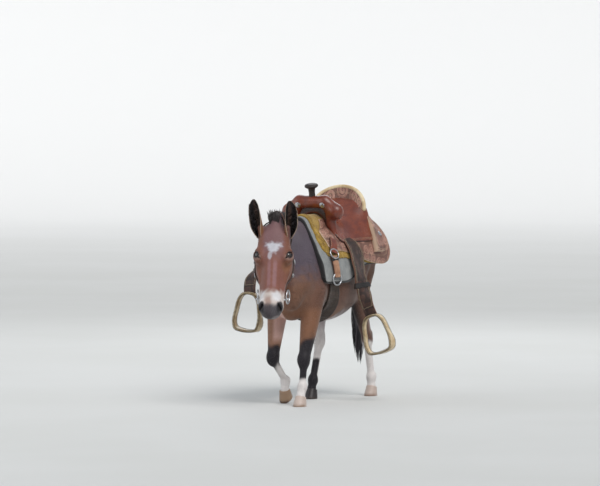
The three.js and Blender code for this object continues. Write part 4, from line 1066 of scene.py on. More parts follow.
# %% Locks
def sweep(name, lines, widths, sides, colours, flat=0.45, around=4):
    """Locks along lines, an array of locks by points, each tapering by its widths."""
    n, m = lines.shape[:2]
    tangent = unit(np.gradient(lines, axis=1))
    side = unit(sides - (sides * tangent).sum(2)[..., None] * tangent)
    out = np.cross(tangent, side)
    rings = []
    for k in range(around):
        a = 2 * np.pi * k / around
        across, thick = side * (0.5 * math.cos(a)), out * (0.5 * flat * math.sin(a))
        rings.append(lines + (across + thick) * widths[..., None])
    body = np.stack(rings, 2)[:, :-1].reshape(n, (m - 1) * around, 3)
    points = np.concatenate([body, lines[:, -1:]], 1)
    shape = []
    for r in range(m - 2):
        for k in range(around):
            a, b = r * around + k, r * around + (k + 1) % around
            shape += [[a, b, b + around], [a, b + around, a + around]]
    end, last = (m - 1) * around, (m - 2) * around
    shape += [[last + k, last + (k + 1) % around, end] for k in range(around)]
    shape += [[0, k + 1, k] for k in range(1, around - 1)]
    shape = np.array(shape)
    size = points.shape[1]
    triangles = (shape[None] + size * np.arange(n)[:, None, None]).reshape(-1, 3)
    small = np.stack([np.tile(np.arange(around) / around, m - 1), np.repeat(np.arange(m - 1) / m, around)], 1)
    small = np.concatenate([small, [[0.5, 1]]]) * PATCH
    patches = (unwrap(lines[:, 0])[:, None] + small[None]).reshape(-1, 2)
    return array_mesh(name, points.reshape(-1, 3), triangles, np.repeat(colours, size, 0), patches)


def along(points, t):
    """Smooth line through a few points, at the shares t of its length."""
    points = np.array(points, float)
    knots = np.concatenate([[0], np.cumsum(np.sqrt(np.linalg.norm(np.diff(points, axis=0), axis=1)))])
    grid = np.linspace(0, knots[-1], 200)
    ends = np.concatenate([[2 * points[0] - points[1]], points, [2 * points[-1] - points[-2]]])
    times = np.concatenate([[2 * knots[0] - knots[1]], knots, [2 * knots[-1] - knots[-2]]])
    k = np.clip(np.searchsorted(knots, grid, side="right") - 1, 0, len(points) - 2) + 1
    line = []
    for g, i in zip(grid, k):
        p, w = ends[i - 1:i + 3], times[i - 1:i + 3]
        a = [(p[j] * (w[j + 1] - g) + p[j + 1] * (g - w[j])) / (w[j + 1] - w[j]) for j in range(3)]
        b = [(a[j] * (w[j + 2] - g) + a[j + 1] * (g - w[j])) / (w[j + 2] - w[j]) for j in range(2)]
        line.append((b[0] * (w[2] - g) + b[1] * (g - w[1])) / (w[2] - w[1]))
    line = np.array(line)
    run = np.concatenate([[0], np.cumsum(np.linalg.norm(np.diff(line, axis=0), axis=1))])
    return np.stack([np.interp(np.asarray(t) * run[-1], run, line[:, c]) for c in range(3)], -1)

# %% Mane and tuft
MANE_LINE = [(20, -214, 788), (13, -160, 781), (6, -90, 766), (1, -24, 752)]
MANE_LOCKS, POLL_LOCKS = 900, 130
STEPS = np.array([0, 0.35, 0.7, 1])


def taper(full, n):
    """Widths along n locks, each lock a little wider or narrower than the full one."""
    return np.array(full)[None] * rng.uniform(0.6, 1.2, (n, 1))


n = MANE_LOCKS
t = rng.random(n)
offset = rng.uniform(-1, 1, n)
root = along(MANE_LINE, t) + np.stack([offset * 8, rng.normal(0, 2, n), -13 - 4 * np.abs(offset)], 1)
high = (29 * rng.uniform(0.8, 1.06, n) * mix(1, 0.66, t**2) + 15)[:, None]
lean = np.stack([offset * 0.26 + rng.normal(0, 0.05, n), rng.normal(0.03, 0.1, n), np.ones(n)], 1)
lines = root[:, None] + lean[:, None] * high[:, None] * STEPS[None, :, None]
lines[:, 1:, 1] += rng.normal(0, 1.4, (n, 3))
widths = taper([4.5, 4.2, 3.2, 1], n)
shade = np.clip(BLACK * rng.uniform(0.7, 1.5, (n, 1)), 0, 1)
mane = sweep("mane", lines, widths, np.tile([0, 1.0, 0], (n, 4, 1)), shade)

n = POLL_LOCKS
a = np.radians(rng.uniform(-17, 18, n))
root = np.stack([on_head(46 * math.sin(v), rng.uniform(-10, 12), -33) for v in a])
way = np.stack([np.sin(a) * 0.7, rng.uniform(-0.5, -0.15, n), np.ones(n)], 1)
way[:, 0], way[:, 1] = rotate(way[:, 0], way[:, 1], HEAD_TURN)
long = rng.uniform(50, 72, n)[:, None]
lines = root[:, None] + way[:, None] * (long * STEPS)[..., None]
lines[:, :, 1] -= 9 * STEPS**2
widths = taper([5, 4.6, 3.4, 1], n)
flat, dark = np.tile([1.0, 0.3, 0], (n, 4, 1)), np.tile(tone(38, 30, 30), (n, 1))
poll_tuft = sweep("poll_tuft", lines, widths, flat, dark)
print("mane", len(mane.data.polygons), "tuft", len(poll_tuft.data.polygons))

# %% Tail
TAIL_LINE = [(0, 548, 684), (0, 590, 650), (0, 606, 560), (2, 602, 400), (4, 598, 240), (4, 594, 122)]
TAIL_SIZE = [24, 22, 27, 36, 35, 29, 17]
TAIL_CLUMPS, TAIL_LOCKS, TAIL_POINTS = 9, 420, 11
DOCK_SHARE, DOCK_RINGS = 0.7, 20


def tail_size(t):
    return np.interp(t, np.linspace(0, 1, len(TAIL_SIZE)), TAIL_SIZE)


n = TAIL_LOCKS
start = np.sort(rng.beta(1.0, 1.5, n)) * 0.72
stop = np.minimum(np.where(start < 0.4, 1, rng.uniform(0.8, 0.995, n)), start + rng.uniform(0.28, 0.5, n))
clump = rng.integers(0, TAIL_CLUMPS, n)
turn = 2 * np.pi * (clump + rng.normal(0.5, 0.17, n)) / TAIL_CLUMPS
deep = np.sqrt(rng.uniform(0.15, 1, n))
u = np.linspace(0, 1, TAIL_POINTS)
t = start[:, None] + (stop - start)[:, None] * u
reach = np.interp(u, [0, 0.25, 0.5, 0.75, 1], [0.3, 0.86, 0.97, 0.93, 0.72])[None] * deep[:, None]
swing = turn[:, None] + 0.5 * np.sin(u * 4 + rng.uniform(0, 6, (n, 1))) * rng.uniform(-0.6, 0.6, (n, 1))
out = np.stack([np.cos(swing), np.sin(swing) * 0.72, 0 * swing], -1)
lines = along(TAIL_LINE, t) + out * (tail_size(t) * reach)[..., None]
widths = taper(np.interp(u, [0, 0.15, 0.7, 1], [3, 9, 7, 1]), n)
sides = np.stack([-out[..., 1], out[..., 0], 0 * swing], -1)
shade = np.clip(BLACK * rng.uniform(0.6, 1.6, (n, 1)), 0, 1)
tail = sweep("tail_hair", lines, widths, sides, shade)
dock_shares = np.linspace(0, DOCK_SHARE, DOCK_RINGS)
dock_size = tail_size(dock_shares)[None]
dock_size[0, -3:] *= (0.7, 0.4, 0.1)
dock_line, across = along(TAIL_LINE, dock_shares)[None], np.tile([1.0, 0, 0], (1, DOCK_RINGS, 1))
dock = sweep("dock", dock_line, dock_size, across, BLACK[None], 0.7, 16)
print("tail", len(tail.data.polygons))

# %% [markdown]
# ## Hooves and eyes
# A hoof is a slanted cone of horn cut flat below, longer in front than at the heels. Rings of points
# follow its wall from the ground to the hairline. The eye is a ball that shows between the lids.

# %% Hooves
FEET = {
    "front_left": (73, -122, 0), "front_right": (-58, 22, 34),
    "hind_left": (85, 548, 0), "hind_right": (-71, 282, 0),
}
HOOF_WIDE, HOOF_LONG, HOOF_HIGH, HOOF_SIDES = 28.5, 37, 46, 40
# Height, width and how far back of each ring, as shares
HOOF_RINGS = [
    (0, 0.97, 0.0), (0.03, 1, 0.01), (0.12, 1, 0.03),
    (0.3, 0.965, 0.17), (0.5, 0.925, 0.34), (0.8, 0.84, 0.62),
    (0.93, 0.84, 0.7), (0.98, 0.81, 0.71), (1, 0.76, 0.72),
]


def hoof(x0, y0, pitch):
    """Points and faces of a hoof. pitch lifts the heels round the toe, in degrees."""
    rings = []
    a = np.linspace(0, 2 * np.pi, HOOF_SIDES, endpoint=False)
    front = np.cos(a)
    for up, size, back in HOOF_RINGS:
        blunt = np.where(front < 0, 0.86, 1)
        x = HOOF_WIDE * np.sin(a) * size * (1 - 0.06 * (1 - front))
        y = -HOOF_LONG * front * blunt * mix(size, size * 0.86, up) + back * 13
        z = up * HOOF_HIGH * mix(1, 0.72, (1 - front) / 2)
        rings.append(np.stack([x, y, z], 1))
    x, y, z = np.concatenate([*rings, [[0, 0, 0]], [[0, 10, 39.5]]]).T
    y, z = rotate(y + HOOF_LONG, z, math.radians(pitch))
    p = np.stack([x + x0, y - HOOF_LONG + y0, np.maximum(z - (1.6 if pitch else 0), 0)], 1)
    return p, capped_faces(len(HOOF_RINGS), HOOF_SIDES)


# Colour of the wall and of the toe
HORN = {
    "front_left": (tone(196, 178, 168), tone(150, 126, 108)),
    "front_right": (tone(156, 128, 104), tone(84, 64, 54)),
    "hind_left": (tone(188, 170, 160), tone(146, 122, 108)),
    "hind_right": (tone(44, 38, 40), tone(60, 50, 46)),
}
hooves = []
for name, (x0, y0, pitch) in FEET.items():
    points, faces = hoof(x0, y0, pitch)
    piece = face_out(mesh_object("horn_" + name, points, faces))
    wall, toe = HORN[name]
    lowness = ramp(points[:, 2] + waver(points, 12, 3), 16, 2) * ramp(points[:, 1] - y0, 8, -20)
    paint(piece, lay(np.tile(wall, (len(points), 1)), toe, lowness))
    hooves.append(piece)

# %% Eyes
EYE_RINGS, EYE_AROUND = 31, 48
eyes = []
for s, name in SIDES:
    a, b = np.meshgrid(
        np.linspace(0, np.pi, EYE_RINGS + 2)[1:-1],
        np.linspace(0, 2 * np.pi, EYE_AROUND, endpoint=False),
        indexing="ij",
    )
    local = np.stack([np.sin(a) * np.cos(b), np.sin(a) * np.sin(b), np.cos(a)], -1).reshape(-1, 3)
    local = np.concatenate([local, [[0, 0, 1.0]], [[0, 0, -1.0]]]) * (EYE_RADIUS - 0.3)
    turn_eye = np.array(Matrix.Rotation(s * EYE_OUT, 3, "Y"))
    ball = np.array([on_head(*(eye_centre[s] + turn_eye @ p)) for p in local])
    piece = face_out(mesh_object("eyeball_" + name, ball, capped_faces(EYE_RINGS, EYE_AROUND)))
    slit, across = rotate(local[:, 0], local[:, 1], -s * EYE_SLANT)
    pupil = np.hypot(slit, 1.5 * across) / EYE_RADIUS
    ring = np.hypot(local[:, 0], local[:, 1]) / EYE_RADIUS
    eye_shade = lay(np.tile(tone(88, 68, 60), (len(local), 1)), tone(40, 26, 20), ramp(ring, 0.86, 0.78))
    paint(piece, lay(eye_shade, tone(9, 9, 15), ramp(pupil, 0.5, 0.42)))
    eyes.append(piece)
print("hooves", len(hooves), "eyes", len(eyes))

# %% [markdown]
# ## Bed of the saddle
# Tack lies in layers on the back. A ray that leaves the middle of the barrel at some angle crosses every
# layer, so a place on the saddle is given by how far back it is, the angle from straight up, and the
# height above the bed. A shrinkwrap modifier could lay a flat sheet on the back too, but here each layer
# knows its exact depth.

# %% Rays over the back
bed_form = flesh(
    [
        torso_form,
        bar((0, 150, 600), (0, 530, 598), 95, 158, 1.04),
        bar((0, 34, 742), (0, 175, 742), 30, 34),
    ],
    14,
)
# Height of the line that the rays start from
AXIS = 560.0


def reach_of(field, start, way, offset, limit=320.0):
    """How far each ray goes before it leaves the form grown by offset."""
    near, far = np.zeros(len(start)), np.zeros(len(start))
    depth = field(start) - offset
    for _ in range(90):
        live = (depth < 0) & (far < limit)
        if not live.any():
            break
        near[live] = far[live]
        far[live] += np.maximum(3, -0.7 * depth[live])
        depth[live] = field(start[live] + way[live] * far[live, None]) - offset[live]
    for _ in range(12):
        half = (near + far) / 2
        inside = field(start + way * half[:, None]) < offset
        near, far = np.where(inside, half, near), np.where(inside, far, half)
    return near


def over(y, degrees, offset, field=bed_form):
    """Points at a distance back, an angle from straight up and a height over the bed."""
    y, degrees, offset = np.broadcast_arrays(*(np.asarray(v, float) for v in (y, degrees, offset)))
    start = np.stack([0 * y, y, 0 * y + AXIS], -1).reshape(-1, 3)
    a = np.radians(degrees.ravel())
    way = np.stack([np.sin(a), 0 * a, np.cos(a)], -1)
    far = reach_of(field, start, way, offset.ravel().copy())
    return (start + way * far[:, None]).reshape(*y.shape, 3)


def angle_at(y, z):
    """Angle at which a layer comes down to height z."""
    high, low = np.full(len(y), 5.0), np.full(len(y), 150.0)
    for _ in range(11):
        half = (high + low) / 2
        above = over(y, half, 20)[:, 2] > z
        high, low = np.where(above, half, high), np.where(above, low, half)
    return (high + low) / 2


def through(values):
    """A smooth function of 0 to 1 through evenly spaced values."""
    v = np.array(values, float)
    ends = np.concatenate([[2 * v[0] - v[1]], v, [2 * v[-1] - v[-2]]])

    def at(t):
        s = np.clip(np.asarray(t, float), 0, 1) * (len(v) - 1)
        i = np.minimum(s.astype(int), len(v) - 2)
        f = s - i
        a, b, c, d = (ends[i + k] for k in range(4))
        return b + 0.5 * f * (c - a + f * (2 * a - 5 * b + 4 * c - d + f * (3 * (b - c) + d - a)))

    return at


def rounded(y, start, stop, radius):
    """How much a lower edge lifts towards a round corner."""
    t = np.clip(1 - np.minimum(y - start, stop - y) / radius, 0, 1)
    return radius * (1 - np.sqrt(np.maximum(0, 1 - t * t)))

# %% [markdown]
# ## Flaps
# Felt, skirts, seat and straps are all flaps: sheets with two faces and an edge. A flap is a grid of
# points for its outer face and one for its inner face, stitched together round the rim. The rows crowd
# together at the rim, where the two faces draw in to a round edge. Each flap keeps how far every point
# lies from its edge, for wear, dye and piping, and a map of its own in metres, for patterns that follow
# the leather.

# %% Flaps
EDGE_STOPS = (0, 0.3, 1, 2, 3.2)


def shares(count, length, stops):
    """Places of the rows from 0 to 1, with a few close together at both rims."""
    near = np.array(stops) / length
    return np.concatenate([near, np.linspace(near[-1], 1 - near[-1], count)[1:-1], 1 - near[::-1]])


def flap(name, face, size, count, inner, outer, stops=EDGE_STOPS, bead=None, thin=0.15):
    """face(u, v, offset) gives points; size is how long and wide the flap is, in rows and in columns.

    inner and outer are the offsets of its two faces. thin is how much of the thickness is left at the rim.
    """
    u, v = np.meshgrid(shares(count[0], size[0], stops), shares(count[1], size[1], stops), indexing="ij")
    edge = np.minimum(np.minimum(u, 1 - u) * size[0], np.minimum(v, 1 - v) * size[1])
    low = inner(u, v) if callable(inner) else inner + 0 * u
    high = outer(u, v) if callable(outer) else outer + 0 * u
    if bead:
        high = high + bead(edge)
    t = np.clip(edge / np.minimum(3.2, (high - low) * 0.6), 0, 1)
    half = (high - low) / 2 * mix(thin, 1, np.sqrt(1 - (1 - t) ** 2))
    middle = (high + low) / 2
    points, faces = closed_sheet(face(u, v, middle + half), face(u, v, middle - half))
    made = face_out(mesh_object(name, points, faces))
    keep_value(made, "edge", np.tile(edge.ravel(), 2) * 0.001)
    flat = np.tile(np.stack([v * size[1], u * size[0]], -1).reshape(-1, 2), (2, 1))
    index = np.zeros(len(made.data.loops), int)
    made.data.loops.foreach_get("vertex_index", index)
    uv = made.data.uv_layers.new(name="lay")
    uv.data.foreach_set("uv", (flat[index] * 0.001).astype(np.float32).ravel())
    return made


def layer_face(front, rear, low, side=0, top=0.0, hang=0.0):
    """A layer of the saddle from front to rear, down to the height low(y).

    Rows run back along the mule, columns down from the angle top, or right across where side is 0.
    """
    if not callable(front):
        front = (lambda start: lambda v: start + 0 * v)(front)
    ys = np.linspace(min(front(0), front(1)), rear, 44)
    angles = angle_at(ys, low(ys))

    def face(u, v, offset):
        down = v if side else 2 * v - 1
        y = mix(front(np.abs(down)), rear, u)
        angle = np.interp(y, ys, angles)
        base = mix(top, angle, v) * side if side else down * angle
        p = over(y, base, offset)
        if hang:
            x = p[..., 0]
            wall = np.abs(over(y, 90 + 0 * y, offset)[..., 0]) + hang * (AXIS - p[..., 2])
            p[..., 0] = np.where(np.abs(base) > 90, np.sign(x) * np.maximum(np.abs(x), wall), x)
        return p

    return face

# %% [markdown]
# ## Felt pad and fleece
# The pad is thick grey wool felt bound in black along its edge. It gives a little under the saddle, so
# the pass here lays slow, uneven waves into its face with noise in the offset; cloth simulation would
# only make the same shallow waves, because the pad is held down all over. Over it lies a mustard fleece
# with a curly pile.

# %% Pad
PAD_BINDING = 11.0
pad_face = layer_face(
    lambda v: -14 * v, 536, lambda y: mix(500, 574, ramp(y, 130, 400)) + rounded(y, -14, 536, 30), hang=0.1
)


def soft_swell(u, v):
    wave = np.sin(u * 19 + 2 * np.sin(v * 14)) + np.sin(v * 31 + 3 * np.sin(u * 9)) + np.sin(u * 43 - v * 37)
    return 11.0 + 0.55 * wave * ramp(np.minimum(v, 1 - v), 0.0, 0.06)


pad = flap(
    "felt_pad", pad_face, (540, 620), (84, 150), -2, soft_swell, thin=0.5,
    stops=(0, 0.4, 1.4, 3, 5, 8, PAD_BINDING - 0.4, PAD_BINDING + 0.4, 14, 18),
    bead=lambda edge: 1.3 * ramp(edge, PAD_BINDING + 0.4, PAD_BINDING - 0.4) * ramp(edge, 0, 2),
)

# %% Fleece
fleece_face = layer_face(32, 533, lambda y: mix(614, 576, ramp(y, 100, 480)) + rounded(y, 32, 533, 40))
fleece = flap("fleece_sheet", fleece_face, (500, 430), (60, 110), 9, 16.5, stops=(0, 0.5, 1.5, 3, 5))
print("pad", len(pad.data.polygons), "fleece", len(fleece.data.polygons))

# %% [markdown]
# ## Skirts, jockeys and seat
# The two skirts and the rear jockeys are of thick tooled leather, and the seat is one smooth sheet of
# oiled leather. They use the same flap as the felt, with their own outlines.

# %% Leather of the saddle
SKIRT_SIZE, JOCKEY_SIZE, SEAT_SIZE = (482, 205), (120, 190), (280, 330)
SEAT_RISE = through([56, 43, 36, 42, 84])


def skirt_front(v):
    return mix(112, 62, ramp(v, 0, 0.33))


def skirt_low(y):
    return mix(640, 572, ramp(y, 100, 480)) + rounded(y, 48, 530, 55)


def jockey_top(u, v):
    return mix(45.6, 27.6, ramp(u, 0, 0.8))


def seat_top(u, v):
    return mix(SEAT_RISE(u), 30, ramp(np.abs(2 * v - 1), 0.3, 0.8)) - 0.4


skirts, jockeys = [], []
for s, name in SIDES:
    face = layer_face(skirt_front, 530, skirt_low, s, 12)
    skirts.append((flap("skirt_leather_" + name, face, SKIRT_SIZE, (96, 54), 17, 22.6), face))
    face = layer_face(404, 524, lambda y: 622 + rounded(y, 300, 524, 62), s, 5)
    jockeys.append((flap("jockey_leather_" + name, face, JOCKEY_SIZE, (40, 54), 21, jockey_top), face))
seat_face = layer_face(148, 428, lambda y: 668 + rounded(y, 148, 428, 40) * 0.6)
seat = flap("seat_leather", seat_face, SEAT_SIZE, (72, 96), 21, seat_top, stops=(0, 0.3, 1, 2.2, 4, 6))
print("saddle leather", len(skirts) + len(jockeys) + 1)

# %% [markdown]
# ## Rods, rings and turned pieces
# Wire, piping and rolled edges are round sections swept along a line; rings are the same, closed on
# themselves; conchos and the horn are turned like wood on a lathe. Three small makers cover all of them.

# %% Rods, loops and turned pieces
def rod(name, line, radius, side=(0, 1, 0), flat=1.0, around=16):
    """A closed rod along an array of points. flat squeezes it square to side."""
    line, radius = np.asarray(line, float), np.broadcast_to(radius, len(line)).astype(float)
    tangent = unit(np.gradient(line, axis=0))
    side = np.broadcast_to(np.asarray(side, float), line.shape)
    u = unit(side - (side * tangent).sum(1)[:, None] * tangent)
    v = np.cross(tangent, u)
    a = np.linspace(0, 2 * np.pi, around, endpoint=False)
    section = u[:, None] * np.cos(a)[:, None] + flat * v[:, None] * np.sin(a)[:, None]
    ring = line[:, None] + radius[:, None, None] * section
    points = np.concatenate([ring.reshape(-1, 3), line[:1], line[-1:]])
    return face_out(mesh_object(name, points, capped_faces(len(line), around)))


def ring_line(points, count):
    """Points along a closed smooth line."""
    return along([*points, *points, *points, points[0]], (1 + np.arange(count) / count) / 3)


def loop(name, line, axis, wide, thick, around=12, square=0.0):
    """A closed ring along a closed line. wide is its size along axis, thick its size across."""
    tangent = unit(np.roll(line, -1, 0) - np.roll(line, 1, 0))
    axis = np.broadcast_to(unit(axis), line.shape)
    normal = unit(np.cross(axis, tangent))
    a = 2 * np.pi * (np.arange(around) + 0.5) / around
    corner = 1 / np.maximum(np.abs(np.cos(a)), np.abs(np.sin(a))) ** square
    wide, thick = (np.broadcast_to(w, len(line))[:, None, None] / 2 for w in (wide, thick))
    p = line[:, None] + axis[:, None] * wide * (np.cos(a) * corner)[:, None]
    p = p + normal[:, None] * thick * (np.sin(a) * corner)[:, None]
    return face_out(mesh_object(name, p.reshape(-1, 3), grid_faces(len(line), around, True)))


def circle(at, normal, radius, squash=1.0, up=(0, 0, 1), count=56):
    normal = unit(normal)
    u = np.asarray(up, float)
    u = unit(u - (u @ normal) * normal)
    v = np.cross(normal, u)
    a = 2 * np.pi * np.arange(count) / count
    return np.asarray(at) + radius * (np.cos(a)[:, None] * u + squash * np.sin(a)[:, None] * v)


def wire_ring(name, at, normal, radius, wire, squash=1.0):
    return loop(name, circle(at, normal, radius, squash), normal, 2 * wire, 2 * wire)


def turned(name, profile, at, out, around=40, petals=0, depth=0.0):
    """A profile of radius and height, turned round the direction out."""
    out = unit(out)
    u = unit(np.cross(out, (0.3, 0.2, 1)))
    v = np.cross(out, u)
    a = 2 * np.pi * np.arange(around) / around
    r, h = np.array(profile, float).T
    wave = 1 - depth * (0.5 - 0.5 * np.cos(petals * a))[None] * (r / r.max())[:, None] ** 3
    rim = np.cos(a)[:, None] * u + np.sin(a)[:, None] * v
    p = np.asarray(at) + (r[:, None] * wave)[..., None] * rim + h[:, None, None] * out
    points = np.concatenate([p.reshape(-1, 3), [at + h[0] * out], [at + h[-1] * out]])
    return face_out(mesh_object(name, points, capped_faces(len(profile), around)))

# %% [markdown]
# ## Fork, horn and cantle
# The fork is carved wood under wet-moulded leather, so it is made like the muscles, as soft forms. The
# horn is turned and wrapped with a strip of hide. The cantle is a dished board with a rolled binding
# along its rim.

# %% Fork
fork_form = flesh(
    [
        bar((-58, 148, 843), (58, 148, 843), 26, 26),
        *pair(lambda s: bar((s * 58, 148, 843), (s * 106, 150, 806), 26, 29)),
        *pair(lambda s: egg((s * 108, 150, 800), (32, 30, 33))),
        *pair(lambda s: bar((s * 78, 153, 815), (s * 84, 158, 745), 24, 18)),
        *pair(lambda s: bar((s * 84, 158, 745), (s * 102, 162, 690), 18, 15)),
    ],
    12,
)
fork_points, fork_quads = surface_nets(fork_form, (-150, 105, 660), (150, 200, 885), 3.6)
fork = face_out(mesh_object("fork_leather", settle(fork_form, fork_points), fork_quads))

# %% Horn
HORN_FOOT = np.array([0.0, 146.0, 864.0])
HORN_WAY = unit([0, -math.sin(math.radians(12)), math.cos(math.radians(12))])
heights = np.linspace(-10, 36, 47)
neck_radius = np.interp(heights, [-12, 20, 34, 38], [14.6, 13.4, 15.2, 18])
neck_profile = [(r - 0.9 + 0.9 * abs(math.sin(h * math.pi / 4.6)), h) for r, h in zip(neck_radius, heights)]
cap_profile = [
    (20, 38.5), (25.5, 41.5), (28.2, 44.5), (28.9, 47.5), (28.2, 50.5),
    (25.5, 53.6), (20, 55.6), (12, 56.5), (0.5, 56.8),
]
horn = turned("horn_wrap", [*neck_profile, *cap_profile], HORN_FOOT, HORN_WAY, 48)

# %% Cantle
CANTLE_SPREAD = math.radians(104)
CANTLE_SIZE = (70, 300)


def cantle_rim(a):
    wide = 119 * mix(0.97, 1, np.sin(a) ** 2)
    return np.stack([wide * np.sin(a), 446 - 42 * np.sin(a) ** 2, 816 + 84 * np.cos(a)], -1)


def cantle_foot(a):
    return np.stack([92 * np.sin(a), 424 - 40 * np.sin(a) ** 2, 762 + 26 * np.cos(a)], -1)


def cantle_face(u, v, depth):
    a = mix(-CANTLE_SPREAD, CANTLE_SPREAD, v)
    p = mix(cantle_foot(a), cantle_rim(a), u[..., None])
    out = unit(np.stack([np.sin(a) * 0.55, 1 + 0 * a, -0.2 + 0 * a], -1))
    return p + out * np.asarray(depth)[..., None]


cantle = flap("cantle_leather", cantle_face, CANTLE_SIZE, (16, 90), -6.6, 6.6)
share = np.linspace(-1, 1, 140)
rim_end = np.sqrt(np.clip(1 - (1 - np.minimum(1, (1 - np.abs(share)) * 14)) ** 2, 0.02, 1))
cantle_binding = rod("cantle_binding", cantle_rim(share * CANTLE_SPREAD), 8.8 * rim_end)
print("fork", len(fork.data.polygons), "horn", len(horn.data.polygons))

# %% [markdown]
# ## Fenders and stirrups
# A fender is a broad strap that hangs from under the seat and twists until it faces forward at the
# stirrup. It is a ribbon along a smooth line, with a second line that says which way its width points.
# The left one hangs straight down, and the right one swings forward and out.

# %% Fenders, hobbles and stirrups
HANGERS = [
    dict(
        side=1, name="left", stirrup=(260, 235, 284), lean=17,
        line=[
            (108, 232, 707), (158, 234, 640), (174, 235, 575), (188, 235, 500),
            (202, 235, 448), (216, 235, 404), (236, 235, 360),
        ],
    ),
    dict(
        side=-1, name="right", stirrup=(-258, 56, 373), lean=-6,
        line=[
            (-108, 229, 706), (-172, 196, 650), (-218, 150, 606), (-246, 106, 556),
            (-256, 78, 512), (-254, 64, 480), (-250, 58, 452),
        ],
    ),
]
FENDER_WIDE = through([86, 112, 116, 100, 66, 56, 54])
FENDER_SIZE = (360, 85)
HOBBLE_START, HOBBLE_STOP = 0.6, 0.66
STIRRUP_LINE = [
    (-24, 80), (24, 80), (43, 58), (54, 10), (60, -40), (50, -68),
    (20, -76), (-20, -76), (-50, -68), (-60, -40), (-54, 10), (-43, 58),
]
STIRRUP_POINTS = 132


def ribbon_face(line, sides, width):
    """Points on a ribbon. sides are directions of its width, spread evenly along it."""
    turn = [through([s[k] for s in sides]) for k in range(3)]

    def face(u, v, depth):
        t, depth = np.clip(u, 0.001, 0.999), np.asarray(depth)
        tangent = unit(along(line, t + 0.001) - along(line, t - 0.001))
        side = np.stack([turn[k](u) for k in range(3)], -1)
        side = unit(side - (side * tangent).sum(-1)[..., None] * tangent)
        normal = np.cross(side, tangent)
        return along(line, u) + side * ((v - 0.5) * width(u))[..., None] + normal * depth[..., None]

    return face


def length_of(line):
    return float(np.linalg.norm(np.diff(along(line, np.linspace(0, 1, 60)), axis=0), axis=1).sum())


def hobble_face_of(band):
    """The short stretch of a ribbon that the hobble strap covers."""
    return lambda u, v, depth: band(mix(HOBBLE_START, HOBBLE_STOP, u), v, depth)


fenders, hobbles, stirrups, stirrup_lines = [], [], [], []
share = np.arange(STIRRUP_POINTS) / STIRRUP_POINTS
tread = 34 + 22 * ramp(np.cos(2 * np.pi * (share - 0.5)), 0.3, 0.8)
for hanger in HANGERS:
    s, name, line = hanger["side"], hanger["name"], hanger["line"]
    sides = [(0, 1, 0)] * 4 + [(s * 0.5, 0.85, 0), (s, 0.1, 0), (s, 0, 0)]
    face = ribbon_face(line, sides, FENDER_WIDE)
    fenders.append((flap("fender_leather_" + name, face, FENDER_SIZE, (90, 22), -3.3, 3.3), face))
    face = hobble_face_of(ribbon_face(line, sides, lambda u: FENDER_WIDE(0.62) + 11 + 0 * u))
    hobbles.append((flap("hobble_strap_" + name, face, (25, 92), (8, 30), -7.4, 7.4, thin=0.3), face))
    bent = [rotate(x, z, math.radians(hanger["lean"])) for x, z in STIRRUP_LINE]
    path = ring_line([np.array(hanger["stirrup"]) + (x, 0, z) for x, z in bent], STIRRUP_POINTS)
    stirrups.append(loop("stirrup_rawhide_" + name, path, (0, 1, 0), tread * 0.97, 9.6, 20, 0.5))
    stirrup_lines.append(path)
print("fender lengths", [round(length_of(hanger["line"])) for hanger in HANGERS])

# %% [markdown]
# ## Rigging
# From the fork a strap runs down to a dee, a latigo joins the dee to the ring of the cinch, and the cinch
# itself is a band of soft cords under the chest. Straps that lie on the body follow it point by point:
# their middle line is dropped onto the surface, and each edge is dropped again beside it.

# %% Straps that lie on a form
def strap_face(field, points, width):
    """A face for a strap whose middle line is dropped onto a form."""
    def face(u, v, level):
        shape = u.shape
        t = np.clip(u[:, 0], 0.001, 0.999)
        centre, ahead, behind = (
            settle(field, along(points, np.clip(t + k, 0, 1)), 2.0, 8, 40) for k in (0, 0.01, -0.01)
        )
        side = unit(np.cross(slope(field, centre, 1.5), ahead - behind))
        p = centre[:, None] + side[:, None] * ((v - 0.5) * width)[..., None]
        level = np.broadcast_to(level, shape).ravel()
        return settle(field, p.reshape(-1, 3), level, 7, 40).reshape(*shape, 3)

    return face


def strap(name, field, points, width, low, high, step=4.0, columns=7):
    long = length_of(points)
    face = strap_face(field, points, width)
    count = max(6, int(long / step)), columns
    return flap(name, face, (long, width), count, low, high, (0, 0.3, 0.9, 1.8)), face


# How far back, the angle from straight up and the height over the bed, from top to bottom
RIGGING_PATH = (104, 42, 30), (84, 52, 30), (66, 60, 30), (62, 63, 30)
LATIGO_PATH = (62, 66, 30), (62, 80, 26), (64, 95, 20), (64, 101, 18)
# Width, inner face and outer face
RIGGING, LATIGO, TIE = (40, 27, 31.6), (36, 16, 25.6), (12, 18, 27.6)
riggings, latigos, rings = [], [], []
for s, name in SIDES:
    dee_at = over(62, s * 64, 29.5)
    girth_at = over(64, s * 103, 21)
    outs = [unit(slope(bed_form, p[None])[0]) for p in (dee_at, girth_at)]
    rings.append(wire_ring("dee_" + name, dee_at, outs[0], 21, 3.2, 1.15))
    rings.append(wire_ring("girth_ring_" + name, girth_at, outs[1], 25, 3.2, 1.1))
    fore, aft = ([over(y, s * a, h) for y, a, h in path] for path in (RIGGING_PATH, LATIGO_PATH))
    riggings.append(strap("rigging_strap_" + name, bed_form, fore, *RIGGING))
    latigos.append(strap("latigo_strap_" + name, bed_form, aft, *LATIGO)[0])
print("rigging", len(riggings), "latigos", len(latigos))

# %% Bridle
def head_and_neck(p):
    return np.minimum(skull_form(head_place(p)), neck_form(p))


